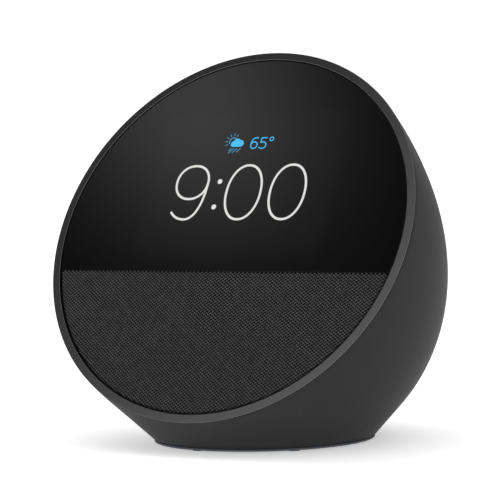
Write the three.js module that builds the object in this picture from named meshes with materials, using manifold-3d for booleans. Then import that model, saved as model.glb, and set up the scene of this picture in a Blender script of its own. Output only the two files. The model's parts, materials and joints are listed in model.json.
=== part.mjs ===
// A small round-faced smart speaker with a display above and a cloth grille below.
// Sizes are in millimetres and angles in degrees. +Z is up and the front faces -Y.
// Most pieces are built in the face frame: x to the right, y up along the leaning face,
// z straight out of it, with the origin at the centre of the face.
import * as THREE from "three";
import { mergeVertices } from "three/addons/utils/BufferGeometryUtils.js";
import Module from "manifold-3d";

const wasm = await Module();
wasm.setup();

// ---- driving sizes -------------------------------------------------------------------

const gap = 0.3; // between two pieces that touch
const faceTilt = 27.5; // lean of the face back from upright
const ringLift = 9.4; // lowest edge of the face above the table
const roundSegments = 64; // facets round the large circles
const driverSegments = 36; // facets round the driver's rings
const smallSegments = 24; // facets round the small ones

const shellRadius = 56.5; // housing and ring, where they meet
const shellDepth = 79; // from the face to the deepest point of the back
const shellWall = 2;
const shellFullness = 68; // how far back the flank stays full
const shellBackRound = 11; // radius of the softly rounded back
const shellDrop = 0.11; // how fast the sections sink towards the back
const shellDropEase = 0.03; // how much of that sinking is lost by the back
const rimRebateDepth = 3.4; // step inside the rim that takes the ring's spigot
const rimRebateWall = 1; // wall left outside that step
const baseCutHeight = 1.3; // level where the housing ends
const baseHalfWidth = 31; // outline of the housing at that level
const baseHalfLength = 33;
const baseShift = 18.4; // middle of that outline behind the face's centre
const baseWallSpread = 1.6; // how much wider the sloping wall is, cut level

const ringBevelWidth = 2.3; // visible sloping band of the ring
const ringBevelFall = 0.2; // how far that band falls away outwards
const ringEdge = 0.2; // upright edge outside the band
const ringLedge = 1.5; // inward ledge under the face panels
const panelRecess = 0.25; // face panels below the ring's inner edge

const splitHeight = -11.9; // line between glass and cloth, along the face
const splitGap = 0.3;
const lensThickness = 1.1;
const clothThickness = 0.6;
const grilleThickness = 1.3;
const grilleHoleRadius = 1.3;
const grilleHolePitch = 4.4;

const screenWidth = 63.5;
const screenHeight = 49.5;
const screenBottom = -9.2; // lower edge of the display stack, along the face
const sensorThickness = 0.4;
const cellThickness = 0.9;
const lightThickness = 1.5;
const trayFloor = 0.5;
const trayWall = 0.5;
const chassisThickness = 2.5;

const driverCentre = -31.5; // along the face
const driverRadius = 21.3;
const gasketWidth = 3.4;
const gasketThickness = 0.7;
const flangeThickness = 1.2;
const flangeWidth = 4.9;
const basketDepth = 10; // flange front to the magnet
const surroundWidth = 2.6;
const coneNeck = 6.9;
const coneDepth = 4.6;
const coneSkin = 0.5;
const capRise = 2;
const coilRadius = 6.4;
const coilWall = 0.5;
const coilLength = 6.5;
const plateThickness = 2;
const magnetThickness = 5;
const magnetRadius = 13;
const yokeThickness = 2;

const buttonRadius = 4.2;
const buttonPitch = 13;
const buttonDepth = 32; // behind the face, along the top of the housing
const buttonClearance = 0.3;
const buttonStandOut = 0.6;
const buttonFlange = 0.8;
const buttonStemRadius = 1.6;
const buttonFlangeDrop = 2.2; // flange below the housing's wall
const buttonFlangeWidth = 0.6;
const switchSide = 6;
const switchHeight = 2.2;
const plungerRadius = 1.6;
const plungerHeight = 0.8;
const buttonBoardWidth = 48;
const buttonBoardLength = 13;
const buttonBoardDrop = 11.5; // board surface below the housing's skin
const boardThickness = 1.2;
const micSpread = 20.5;
const micShift = -3; // behind the middle of the button row
const bossSpread = 21;
const bossShift = -3.4; // in front of it
const bossRadius = 1.9;
const micHoleRadius = 0.7;
const micSide = 3.4;
const micHeight = 1.2;

const mainBoardWidth = 80;
const mainBoardHeight = 36;
const mainBoardCentre = 13;
const mainBoardDepth = 12; // front surface behind the face
const boardPostRadius = 2.4;
const boardPostInset = 3;
const screwShank = 0.8;
const screwHeadRadius = 1.5;
const screwHeadHeight = 1.1;

const portHeight = 26; // centre of the power inlet above the table
const portRadius = 6.4; // inside of the recess the plug's body enters
const portWall = 1.1;
const portDepth = 5; // recess floor behind the skin
const portFloor = 1.2;
const jackBore = 3.2;
const jackPin = 1;
const jackWidth = 9.5;
const jackHeight = 11;
const jackLength = 12;

const baseRimInset = 0.25; // rim of the base inside the housing's lower edge
const baseLip = 0.8; // housing's lower edge outside the base's step
const baseStep = 1.2; // height of that step
const footHeight = 0.4;
const footRadius = 1.8;
const footSink = 0.4; // depth of the pad inside its pocket
const footAngles = [-98, -42, 1, 57, 113, 170];
const footInset = 1.2;
const baseRimThickness = 0.6;
const basePlugThickness = 2.4;
const basePlugClearance = 0.7;
const ballastRadius = 20;
const ballastThickness = 3;
const baseScrewCircle = 14;

// ---- solids --------------------------------------------------------------------------

const degrees = Math.PI / 180;
const tilt = faceTilt * degrees;
const faceHeight = ringLift + shellRadius * Math.cos(tilt);

function toSolid(geometry) {
  const bare = geometry.index ? geometry.toNonIndexed() : geometry.clone();
  bare.deleteAttribute("normal");
  bare.deleteAttribute("uv");
  const merged = mergeVertices(bare, 1e-4);
  const vertProperties = merged.attributes.position.array;
  const triVerts = new Uint32Array(merged.index.array);
  return new wasm.Manifold(new wasm.Mesh({ numProp: 3, vertProperties, triVerts }));
}

function toGeometry(solid) {
  const mesh = solid.getMesh();
  const geometry = new THREE.BufferGeometry();
  geometry.setAttribute("position", new THREE.BufferAttribute(mesh.vertProperties, 3));
  geometry.setIndex(new THREE.BufferAttribute(mesh.triVerts, 1));
  geometry.computeVertexNormals();
  return geometry;
}

// A round solid about z, from a closed outline of [radius, z] points.
function turned(outline, segments = roundSegments) {
  const closed = [...outline, outline[0]];
  let area = 0;
  for (let i = 0; i < outline.length; i += 1) {
    area += closed[i][0] * closed[i + 1][1] - closed[i + 1][0] * closed[i][1];
  }
  const ordered = area > 0 ? closed : closed.reverse();
  const points = ordered.map(([r, z]) => new THREE.Vector2(r, z));
  return toSolid(new THREE.LatheGeometry(points, segments).rotateX(Math.PI / 2));
}

function disc(radius, low, high, segments = roundSegments) {
  const cylinder = new THREE.CylinderGeometry(radius, radius, high - low, segments);
  return toSolid(cylinder.rotateX(Math.PI / 2).translate(0, 0, (low + high) / 2));
}

function tube(outer, inner, low, high, segments = roundSegments) {
  return turned([[inner, low], [outer, low], [outer, high], [inner, high]], segments);
}

// A block from its lowest to its highest corner.
function block(low, high) {
  const size = high.map((value, i) => value - low[i]);
  const middle = high.map((value, i) => (value + low[i]) / 2);
  return toSolid(new THREE.BoxGeometry(...size).translate(...middle));
}

// A plate from an outline drawn in x and y.
function plate(shape, low, high) {
  const settings = { depth: high - low, bevelEnabled: false, curveSegments: roundSegments / 2 };
  return toSolid(new THREE.ExtrudeGeometry(shape, settings).translate(0, 0, low));
}

function hose(points, radius, sides = 8) {
  const section = new THREE.Shape();
  section.absarc(0, 0, radius, 0, 2 * Math.PI);
  const path = new THREE.CatmullRomCurve3(points.map((p) => new THREE.Vector3(...p)));
  const settings = { steps: 14, extrudePath: path, curveSegments: sides / 2 };
  return toSolid(new THREE.ExtrudeGeometry(section, settings));
}

// The circle's part above a level line, or below it.
function circlePart(radius, level, above) {
  const start = Math.asin(level / radius);
  const shape = new THREE.Shape();
  if (above) {
    shape.absarc(0, 0, radius, start, Math.PI - start, false);
  } else {
    shape.absarc(0, 0, radius, start, Math.PI - start, true);
  }
  shape.closePath();
  return shape;
}

// ---- housing form --------------------------------------------------------------------

// Each section of the housing is a circle parallel to the face. Its radius follows one
// curve and its centre sinks slowly with depth.
function sectionDrop(depth) {
  return -shellDrop * depth + (shellDropEase * depth * depth) / shellDepth;
}

function profileCurve(inset) {
  return new THREE.CubicBezierCurve(
    new THREE.Vector2(0, shellRadius - inset),
    new THREE.Vector2(shellFullness, shellRadius - inset),
    new THREE.Vector2(shellDepth - inset, shellBackRound),
    new THREE.Vector2(shellDepth - inset, 0),
  );
}

// Radius of the section at one depth, by halving along the curve.
function sectionRadius(depth, inset = 0) {
  const curve = profileCurve(inset);
  let low = 0;
  let high = 1;
  for (let i = 0; i < 40; i += 1) {
    const middle = (low + high) / 2;
    if (curve.getPoint(middle).x < depth) {
      low = middle;
    } else {
      high = middle;
    }
  }
  return curve.getPoint(low).y;
}

// The solid inside the housing's skin, or inside its inner wall.
function housingForm(inset) {
  const rows = 13;
  const curve = profileCurve(inset);
  const positions = [];
  const triangles = [];
  for (let row = 0; row < rows; row += 1) {
    const { x: depth, y: radius } = curve.getPoint(row / rows);
    for (let i = 0; i < roundSegments; i += 1) {
      const angle = (i / roundSegments) * 2 * Math.PI;
      const y = sectionDrop(depth) + radius * Math.sin(angle);
      positions.push(radius * Math.cos(angle), y, -depth);
    }
  }
  const front = positions.length / 3;
  positions.push(0, 0, 0);
  const deepest = shellDepth - inset;
  positions.push(0, sectionDrop(deepest), -deepest);
  for (let i = 0; i < roundSegments; i += 1) {
    const next = (i + 1) % roundSegments;
    triangles.push(front, i, next);
    for (let row = 0; row < rows - 1; row += 1) {
      const near = row * roundSegments;
      const far = near + roundSegments;
      triangles.push(near + i, far + i, far + next);
      triangles.push(near + i, far + next, near + next);
    }
    const last = (rows - 1) * roundSegments;
    triangles.push(last + i, front + 1, last + next);
  }
  const geometry = new THREE.BufferGeometry();
  geometry.setAttribute("position", new THREE.Float32BufferAttribute(positions, 3));
  geometry.setIndex(triangles);
  return toSolid(geometry);
}

// The face frame's point seen in upright axes that keep the face's centre as origin.
function upright(y, z) {
  return {
    y: y * Math.sin(tilt) - z * Math.cos(tilt),
    z: y * Math.cos(tilt) + z * Math.sin(tilt),
  };
}

// ---- stacked sizes -------------------------------------------------------------------

const ringOuter = shellRadius;
const ringInner = ringOuter - ringBevelWidth;
const ringEdgeBack = ringBevelFall + ringEdge;
const ringSeam = ringEdgeBack + gap;
const panelRadius = ringInner - gap;
const driverOpening = driverRadius - gasketWidth - gap; // hole in front of the cone
const ledgeRadius = ringInner - ringLedge;
const lensBack = panelRecess + lensThickness;
const sensorFront = lensBack + gap;
const cellFront = sensorFront + sensorThickness + gap;
const lightFront = cellFront + cellThickness + gap;
const trayFront = lightFront + lightThickness + gap;
const clothBack = panelRecess + clothThickness;
const grilleFront = clothBack + gap;
const grilleBack = grilleFront + grilleThickness;
const ledgeFront = grilleBack + gap;
const spigotEnd = ringSeam + rimRebateDepth - gap;
const chassisRadius = ledgeRadius - gap;
const chassisBack = ledgeFront + chassisThickness;
const gasketFront = chassisBack + gap;
const flangeFront = gasketFront + gasketThickness + gap;
const screenTop = screenBottom + screenHeight;
const screenMiddle = (screenBottom + screenTop) / 2;

// ---- ring, glass and cloth -----------------------------------------------------------

function frontRing() {
  const spigotRadius = shellRadius - rimRebateWall - gap;
  return turned([
    [ringInner, 0],
    [ringInner, -ledgeFront],
    [ledgeRadius, -ledgeFront],
    [ledgeRadius, -spigotEnd],
    [spigotRadius, -spigotEnd],
    [spigotRadius, -ringEdgeBack],
    [ringOuter, -ringEdgeBack],
    [ringOuter, -ringBevelFall],
  ]);
}

function coverLens() {
  const shape = circlePart(panelRadius, splitHeight + splitGap / 2, true);
  return plate(shape, -lensBack, -panelRecess);
}

function grilleCloth() {
  const shape = circlePart(panelRadius, splitHeight - splitGap / 2, false);
  return plate(shape, -clothBack, -panelRecess);
}

// The perforated plate behind the cloth, with staggered rows of holes over the driver.
function speakerGrille() {
  const shape = circlePart(panelRadius, splitHeight - splitGap / 2, false);
  const rowPitch = grilleHolePitch * Math.sin(60 * degrees);
  const rowCount = Math.floor(driverOpening / rowPitch);
  const holes = [];
  for (let row = -rowCount; row <= rowCount; row += 1) {
    const shift = row % 2 === 0 ? 0 : grilleHolePitch / 2;
    for (let column = -rowCount; column <= rowCount; column += 1) {
      const x = column * grilleHolePitch + shift;
      const y = row * rowPitch;
      const inside = Math.hypot(x, y) < driverOpening - grilleHoleRadius;
      const clearOfSplit = driverCentre + y < splitHeight - 2 * grilleHoleRadius;
      if (inside && clearOfSplit) {
        const hole = disc(grilleHoleRadius, -grilleBack - 1, -grilleFront + 1, 6);
        holes.push(hole.translate([x, driverCentre + y, 0]));
      }
    }
  }
  return plate(shape, -grilleBack, -grilleFront).subtract(wasm.Manifold.union(holes));
}

// ---- display stack -------------------------------------------------------------------

function screenLayer(front, thickness, inset) {
  const half = screenWidth / 2 - inset;
  return block(
    [-half, screenBottom + inset, -front - thickness],
    [half, screenTop - inset, -front],
  );
}

// A folded tray whose sides hold the light unit and the cell.
function displayTray() {
  const outer = screenLayer(cellFront, trayFront + trayFloor - cellFront, 0);
  const hollow = screenLayer(cellFront - 1, trayFront - cellFront + 1, trayWall);
  return outer.subtract(hollow);
}

// A thin film that leaves the back of the tray and turns down to the main board.
function displayFlex() {
  const width = 12;
  const thickness = 0.3;
  const start = trayFront + trayFloor + gap;
  const lift = 2.4;
  const y = screenBottom + 3;
  const back = mainBoardDepth - gap;
  const bottom = block([-width / 2, y, -start - thickness], [width / 2, y + 9, -start]);
  const drop = block([-width / 2, y, -back], [width / 2, y + thickness, -start]);
  const foot = block([-width / 2, y, -back], [width / 2, y + lift, -back + thickness]);
  return wasm.Manifold.union([bottom, drop, foot]);
}

// The disc behind the glass and grille, open for the display and for the driver.
function frontChassis() {
  const body = disc(chassisRadius, -chassisBack, -ledgeFront);
  const window = screenLayer(ledgeFront - 1, chassisThickness + 2, -gap);
  const opening = disc(driverOpening, -chassisBack - 1, -ledgeFront + 1, driverSegments);
  const holes = driverScrewPlaces().map(([x, y]) =>
    disc(screwShank + gap, -chassisBack - 1, -ledgeFront + 1, 12).translate([x, y, 0]),
  );
  const posts = boardPostPlaces().map(boardPost);
  const cuts = [window, opening.translate([0, driverCentre, 0]), ...holes];
  return wasm.Manifold.union([body, ...posts]).subtract(wasm.Manifold.union(cuts));
}

// A post on the chassis that the main board is screwed to.
function boardPost([x, y]) {
  const low = -mainBoardDepth + gap;
  const bore = disc(screwShank + gap / 2, low - 1, low + 4, 12);
  const post = disc(boardPostRadius, low, -chassisBack + 0.1, 16);
  return post.subtract(bore).translate([x, y, 0]);
}

// ---- driver --------------------------------------------------------------------------

// Driver pieces are turned about their own axis, which leaves the face at driverCentre.
const coneOuter = driverRadius - flangeWidth - surroundWidth - gap;
const coneFront = flangeFront + flangeThickness / 2;
const coneBack = coneFront + coneDepth;
const plateFront = flangeFront + basketDepth;
const coilFront = coneBack + gap;
const coilBack = coilFront + coilLength;
const magnetFront = plateFront + plateThickness + gap;
const magnetBack = magnetFront + magnetThickness;
const yokeFront = magnetBack + gap;
const yokeBack = yokeFront + yokeThickness;
const gapOuter = coilRadius + coilWall + gap;

function driverScrewPlaces() {
  const circle = driverRadius - screwHeadRadius - gap;
  return [45, 135, 225, 315].map((angle) => [
    circle * Math.cos(angle * degrees),
    driverCentre + circle * Math.sin(angle * degrees),
  ]);
}

function driverGasket() {
  const back = -gasketFront - gasketThickness;
  const inner = driverRadius - gasketWidth;
  const ring = tube(driverRadius, inner, back, -gasketFront, driverSegments);
  const holes = driverScrewPlaces().map(([x, y]) =>
    disc(screwShank + gap, -chassisBack - 3, 0, 12).translate([x, y - driverCentre, 0]),
  );
  return ring.subtract(wasm.Manifold.union(holes));
}

// A round frame: a flat flange, a funnel with four windows and a seat for the magnet.
function driverBasket() {
  const flangeInner = driverRadius - flangeWidth;
  const flangeBack = flangeFront + flangeThickness;
  const wall = 1;
  const seatRadius = magnetRadius + wall;
  const seatFront = plateFront - gap - wall;
  const body = turned(
    [
      [flangeInner, -flangeFront],
      [flangeInner, -flangeBack],
      [seatRadius - wall, -seatFront],
      [gapOuter, -seatFront],
      [gapOuter, -seatFront - wall],
      [seatRadius, -seatFront - wall],
      [flangeInner + wall, -flangeBack],
      [driverRadius, -flangeBack],
      [driverRadius, -flangeFront],
    ],
    driverSegments,
  );
  const windowHalf = 6;
  const window = block(
    [-windowHalf, 0, -seatFront + wall],
    [windowHalf, driverRadius, -flangeBack - wall],
  );
  const windows = [0, 90, 180, 270].map((angle) => window.rotate([0, 0, angle]));
  const holes = driverScrewPlaces().map(([x, y]) =>
    disc(screwShank + gap, -flangeBack - 1, -flangeFront + 1, 12).translate([x, y - driverCentre, 0]),
  );
  return body.subtract(wasm.Manifold.union([...windows, ...holes]));
}

function surround() {
  const inner = coneOuter + gap;
  const outer = inner + surroundWidth - gap;
  const middle = (inner + outer) / 2;
  const roll = (outer - inner) / 2;
  const skin = 0.4;
  const arcSteps = 4;
  const outline = [];
  for (let i = 0; i <= arcSteps; i += 1) {
    const angle = (i / arcSteps) * Math.PI;
    outline.push([middle + roll * Math.cos(angle), -coneFront + roll * Math.sin(angle)]);
  }
  for (let i = arcSteps; i >= 0; i -= 1) {
    const angle = (i / arcSteps) * Math.PI;
    const inside = roll - skin;
    outline.push([middle + inside * Math.cos(angle), -coneFront + inside * Math.sin(angle)]);
  }
  return turned(outline, driverSegments);
}

function cone() {
  return turned(
    [
      [coneOuter, -coneFront],
      [coneOuter, -coneFront - coneSkin],
      [coneNeck, -coneBack],
      [coilRadius, -coneBack],
      [coilRadius, -coneBack + coneSkin],
      [coneNeck, -coneBack + coneSkin],
    ],
    driverSegments,
  );
}

function dustCap() {
  const base = coneBack - coneSkin - gap;
  const skin = 0.4;
  const steps = 4;
  const outline = [];
  for (let i = 0; i <= steps; i += 1) {
    const angle = (i / steps) * 90 * degrees;
    outline.push([coilRadius * Math.cos(angle), -base + capRise * Math.sin(angle)]);
  }
  outline.push([0, -base + capRise - skin]);
  for (let i = steps - 1; i >= 0; i -= 1) {
    const angle = (i / steps) * 90 * degrees;
    const inside = coilRadius - skin;
    outline.push([inside * Math.cos(angle), -base + (capRise - skin) * Math.sin(angle)]);
  }
  return turned(outline, 32);
}

function voiceCoil() {
  return tube(coilRadius + coilWall, coilRadius, -coilBack, -coilFront, 32);
}

function spider() {
  const front = coilFront + 1;
  const inner = coilRadius + coilWall + gap;
  const outer = magnetRadius - gap;
  const wave = 0.35;
  const skin = 0.3;
  const folds = 6;
  const top = [];
  const bottom = [];
  for (let i = 0; i <= folds; i += 1) {
    const radius = inner + ((outer - inner) * i) / folds;
    const rise = i % 2 === 0 ? wave : -wave;
    top.push([radius, -front + rise]);
    bottom.unshift([radius, -front + rise - skin]);
  }
  return turned([...top, ...bottom], 32);
}

function topPlate() {
  return tube(magnetRadius - 0.5, gapOuter, -plateFront - plateThickness, -plateFront, driverSegments);
}

function magnet() {
  return tube(magnetRadius, gapOuter + 0.8, -magnetBack, -magnetFront, driverSegments);
}

function yoke() {
  const pole = coilRadius - gap;
  return turned(
    [
      [0, -yokeBack],
      [magnetRadius, -yokeBack],
      [magnetRadius, -yokeFront],
      [pole, -yokeFront],
      [pole, -plateFront],
      [0, -plateFront],
    ],
    driverSegments,
  );
}

// ---- screws --------------------------------------------------------------------------

// A screw whose head faces +z and rests at the given level.
function screw(level, length) {
  const head = disc(screwHeadRadius, level, level + screwHeadHeight, 12);
  const shank = disc(screwShank, level - length, level + 0.1, 8);
  const slot = 0.4;
  const arm = screwHeadRadius * 0.6;
  const top = level + screwHeadHeight;
  const cross = [
    block([-arm, -slot / 2, top - slot], [arm, slot / 2, top + 1]),
    block([-slot / 2, -arm, top - slot], [slot / 2, arm, top + 1]),
  ];
  return wasm.Manifold.union([head, shank]).subtract(wasm.Manifold.union(cross));
}

// ---- electronics behind the display --------------------------------------------------

function boardPostPlaces() {
  const x = mainBoardWidth / 2 - boardPostInset;
  const y = mainBoardHeight / 2 - boardPostInset;
  return [[x, y], [-x, y], [-x, -y], [x, -y]].map(([a, b]) => [a, mainBoardCentre + b]);
}

function mainBoard() {
  const half = mainBoardHeight / 2;
  const board = block(
    [-mainBoardWidth / 2, mainBoardCentre - half, -mainBoardDepth - boardThickness],
    [mainBoardWidth / 2, mainBoardCentre + half, -mainBoardDepth],
  );
  const holes = boardPostPlaces().map(([x, y]) =>
    disc(screwShank + gap, -mainBoardDepth - 5, -mainBoardDepth + 1, 12).translate([x, y, 0]),
  );
  return board.subtract(wasm.Manifold.union(holes));
}

function boardScrew([x, y]) {
  const under = mainBoardDepth + boardThickness + gap;
  return screw(0, boardThickness + 3).rotate([180, 0, 0]).translate([x, y, -under]);
}

// A block on the back of the main board.
function boardPart(x, y, width, height, thickness) {
  const near = mainBoardDepth + boardThickness + gap;
  return block(
    [x - width / 2, mainBoardCentre + y - height / 2, -near - thickness],
    [x + width / 2, mainBoardCentre + y + height / 2, -near],
  );
}

// A finned block on the processor; the slots between its fins run up the board.
function heatSink() {
  const side = 16;
  const height = 4.5;
  const floor = 1.5;
  const x = -14;
  const finPitch = 4;
  const slotHalf = 0.9;
  const body = boardPart(x, 2, side, side, height);
  const near = mainBoardDepth + boardThickness + gap;
  const slots = [-1.5, -0.5, 0.5, 1.5].map((place) =>
    block(
      [x + place * finPitch - slotHalf, mainBoardCentre - side, -near - height - 1],
      [x + place * finPitch + slotHalf, mainBoardCentre + side, -near - floor],
    ),
  );
  return body.subtract(wasm.Manifold.union(slots));
}

// ---- housing -------------------------------------------------------------------------

// Turns a solid from the face frame to upright axes with the table at z = 0.
function standing(solid) {
  return solid.rotate([90 - faceTilt, 0, 0]).translate([0, 0, faceHeight]);
}

// The level outline that the housing's lower part runs straight down to.
function baseFootprint(inset) {
  const shape = new THREE.Shape();
  shape.absellipse(0, baseShift, baseHalfWidth - inset, baseHalfLength - inset, 0, 2 * Math.PI);
  return plate(shape, baseCutHeight, baseCutHeight + 0.01);
}

const skinForm = wasm.Manifold.hull([standing(housingForm(0)), baseFootprint(0)]);
const innerForm = wasm.Manifold.hull([
  standing(housingForm(shellWall)),
  baseFootprint(shellWall * baseWallSpread),
]);

// The frame of the button row: x along the row, z out of the housing's skin.
const buttonTop = sectionDrop(buttonDepth) + sectionRadius(buttonDepth);
const buttonSlope = skinSlope(buttonDepth);
const buttonTurn = Math.atan2(-1, buttonSlope);
const buttonBoardLow = -buttonBoardDrop - boardThickness;

// Change of the top line's height with depth.
function skinSlope(depth) {
  const step = 0.1;
  const near = sectionDrop(depth - step) + sectionRadius(depth - step);
  const far = sectionDrop(depth + step) + sectionRadius(depth + step);
  return (far - near) / (2 * step);
}

function alongButtons(solid) {
  const turn = buttonTurn / degrees;
  return standing(solid.rotate([turn, 0, 0]).translate([0, buttonTop, -buttonDepth]));
}

// How far the skin has fallen away beside the middle line.
function skinFall(x) {
  const radius = sectionRadius(buttonDepth);
  return radius - Math.sqrt(radius * radius - x * x);
}

const buttonPlaces = [-buttonPitch, 0, buttonPitch];
const bossEnd = -buttonBoardDrop + gap;

function buttonBosses() {
  const bosses = [-bossSpread, bossSpread].map((x) => {
    const top = -skinFall(x) - shellWall / 2;
    const body = disc(bossRadius, bossEnd, top, 16);
    const bore = disc(screwShank + gap / 2, bossEnd - 1, bossEnd + 3, 12);
    return body.subtract(bore).translate([x, bossShift, 0]);
  });
  return alongButtons(wasm.Manifold.union(bosses));
}

function buttonHoles() {
  const holes = buttonPlaces.map((x) =>
    disc(buttonRadius + buttonClearance, -skinFall(x) - shellWall * 2, 4, smallSegments)
      .translate([x, 0, 0]),
  );
  const micHoles = [-micSpread, micSpread].map((x) =>
    disc(micHoleRadius, -skinFall(x) - shellWall * 2, 4, 8).translate([x, -micShift, 0]),
  );
  return alongButtons(wasm.Manifold.union([...holes, ...micHoles]));
}

// The housing's skin at the power inlet, straight behind the middle line.
const portSkin = skinBehind(portHeight);

function skinBehind(level) {
  let rearmost = 0;
  for (let depth = 1; depth < shellDepth; depth += 0.05) {
    const radius = sectionRadius(depth);
    for (const side of [-1, 1]) {
      const point = upright(sectionDrop(depth) + side * radius, -depth);
      if (Math.abs(point.z + faceHeight - level) < 0.2) {
        rearmost = Math.max(rearmost, point.y);
      }
    }
  }
  return rearmost;
}

// Turns a solid built about z to point straight back out of the power inlet.
function atPort(solid) {
  return solid.rotate([-90, 0, 0]).translate([0, portSkin, portHeight]);
}

function rearHousing() {
  const rim = ringSeam;
  const rebate = standing(
    disc(shellRadius - rimRebateWall, -rim - rimRebateDepth, 1),
  );
  const portHole = atPort(disc(portRadius + portWall + gap, -3 * portDepth, 12, 32));
  const step = baseOutline.offset(-baseLip, "Round").extrude(baseStep + 1);
  const baseSeat = step.translate([0, 0, baseCutHeight - 1]);
  const shell = wasm.Manifold.union([skinForm.subtract(innerForm), buttonBosses()]);
  const cuts = wasm.Manifold.union([rebate, buttonHoles(), portHole, baseSeat]);
  const facePlane = [0, Math.cos(tilt), -Math.sin(tilt)];
  const seamOffset = -faceHeight * Math.sin(tilt) + rim;
  return shell
    .subtract(cuts)
    .trimByPlane(facePlane, seamOffset)
    .trimByPlane([0, 0, 1], baseCutHeight);
}

// A short cup set into the housing, cut to follow the skin.
function portRecess() {
  const outer = disc(portRadius + portWall, -portDepth - portFloor, 12, 32);
  const hollow = disc(portRadius, -portDepth, 13, 32);
  const through = disc(jackBore + gap, -portDepth - portFloor - 1, 0, smallSegments);
  const cup = outer.subtract(wasm.Manifold.union([hollow, through]));
  return atPort(cup).intersect(skinForm);
}

function powerJack() {
  const front = -portDepth - portFloor - gap;
  const body = block(
    [-jackWidth / 2, -jackHeight / 2, front - jackLength],
    [jackWidth / 2, jackHeight / 2, front],
  );
  const boreEnd = front - jackLength + 2.5;
  const bore = disc(jackBore, boreEnd, front + 1, smallSegments);
  const pin = disc(jackPin, boreEnd - 0.5, front - 1, 12);
  return atPort(wasm.Manifold.union([body.subtract(bore), pin]));
}

function jackBoard() {
  const back = -portDepth - portFloor - 2 * gap - jackLength;
  return atPort(
    block([-jackWidth, -jackHeight, back - boardThickness], [jackWidth, jackHeight / 2 + 1, back]),
  );
}

// ---- buttons and microphones ---------------------------------------------------------

const switchTop = -buttonBoardDrop + gap + switchHeight + plungerHeight;
const capBottom = switchTop + gap;

// A cap whose top follows the housing's skin and stands a little proud of it.
function buttonCap(x) {
  const under = -skinFall(x) - shellWall - buttonFlangeDrop;
  const flangeRadius = buttonRadius + buttonFlangeWidth;
  const crown = disc(buttonRadius, under - buttonFlange / 2, 4, smallSegments);
  const flange = disc(flangeRadius, under - buttonFlange, under, smallSegments);
  const stem = disc(buttonStemRadius, capBottom, under, 16);
  const cap = wasm.Manifold.union([crown, flange, stem]).translate([x, 0, 0]);
  return alongButtons(cap).intersect(standing(housingForm(-buttonStandOut)));
}

function switchBody(x) {
  const low = -buttonBoardDrop + gap;
  const half = switchSide / 2;
  const body = block([-half, -half, low], [half, half, low + switchHeight]);
  const plunger = disc(plungerRadius, low, switchTop, 16);
  return alongButtons(wasm.Manifold.union([body, plunger]).translate([x, 0, 0]));
}

function buttonBoard() {
  const half = buttonBoardLength / 2;
  const board = block(
    [-buttonBoardWidth / 2, -half, buttonBoardLow],
    [buttonBoardWidth / 2, half, -buttonBoardDrop],
  );
  const holes = [-bossSpread, bossSpread].map((x) =>
    disc(screwShank + gap, buttonBoardLow - 1, 0, 12).translate([x, bossShift, 0]),
  );
  return alongButtons(board.subtract(wasm.Manifold.union(holes)));
}

function buttonBoardScrew(x) {
  const level = -buttonBoardLow + gap;
  const turnedOver = screw(level, boardThickness + 2.5).rotate([180, 0, 0]);
  return alongButtons(turnedOver.translate([x, bossShift, 0]));
}

function microphone(x) {
  const low = -buttonBoardDrop + gap;
  const half = micSide / 2;
  return alongButtons(
    block([x - half, -micShift - half, low], [x + half, -micShift + half, low + micHeight]),
  );
}

// ---- base ----------------------------------------------------------------------------

const baseOutline = skinForm.slice(baseCutHeight + 0.01);
const openingOutline = innerForm.slice(baseCutHeight + 0.01);
const baseBounds = baseOutline.bounds();
const baseCentre = (baseBounds.min[1] + baseBounds.max[1]) / 2;
const baseLength = (baseBounds.max[1] - baseBounds.min[1]) / 2;
const baseWidth = baseBounds.max[0];
const rimLow = footHeight;
const rimHigh = rimLow + baseRimThickness;
const footTop = rimLow + footSink;

// A flat cover with a step inside the housing's edge and a plug that fills its opening.
function baseCover() {
  const rim = baseOutline.offset(-baseRimInset, "Round").extrude(baseRimThickness);
  const step = baseOutline.offset(-baseLip - gap, "Round").extrude(baseStep);
  const plug = openingOutline.offset(-basePlugClearance, "Round").extrude(basePlugThickness);
  const pockets = baseScrewPlaces().map(([x, y]) =>
    wasm.Manifold.union([
      disc(screwHeadRadius + gap, rimLow - 1, rimLow + screwHeadHeight + gap, 16),
      disc(screwShank + gap, rimLow - 1, rimHigh + basePlugThickness + 1, 12),
    ]).translate([x, y, 0]),
  );
  const footPockets = footPlaces().map(([x, y]) =>
    disc(footRadius + gap, rimLow - 1, footTop + gap, 16).translate([x, y, 0]),
  );
  return wasm.Manifold.union([
    rim.translate([0, 0, rimLow]),
    step.translate([0, 0, rimHigh - 0.01]),
    plug.translate([0, 0, rimHigh - 0.01]),
  ]).subtract(wasm.Manifold.union([...pockets, ...footPockets]));
}

function baseScrewPlaces() {
  return [90, 210, 330].map((angle) => [
    baseScrewCircle * Math.cos(angle * degrees),
    baseCentre + baseScrewCircle * Math.sin(angle * degrees),
  ]);
}

function baseScrew([x, y]) {
  const level = rimLow + screwHeadHeight;
  return screw(-level, 5).rotate([180, 0, 0]).translate([x, y, 0]);
}

function ballast() {
  const low = rimHigh + basePlugThickness + gap;
  const holes = baseScrewPlaces().map(([x, y]) =>
    disc(screwShank + gap / 2, low - 1, low + ballastThickness + 1, 12).translate([x, y, 0]),
  );
  const body = disc(ballastRadius, low, low + ballastThickness, roundSegments);
  return body.translate([0, baseCentre, 0]).subtract(wasm.Manifold.union(holes));
}

function footPlaces() {
  const inset = baseRimInset + footRadius + footInset;
  return footAngles.map((angle) => [
    (baseWidth - inset) * Math.cos(angle * degrees),
    baseCentre + (baseLength - inset) * Math.sin(angle * degrees),
  ]);
}

// A round pad set into the base cover, whose underside the speaker stands on.
function foot([x, y]) {
  return disc(footRadius, 0, footTop, 16).translate([x, y, 0]);
}

// ---- wires ---------------------------------------------------------------------------

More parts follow.
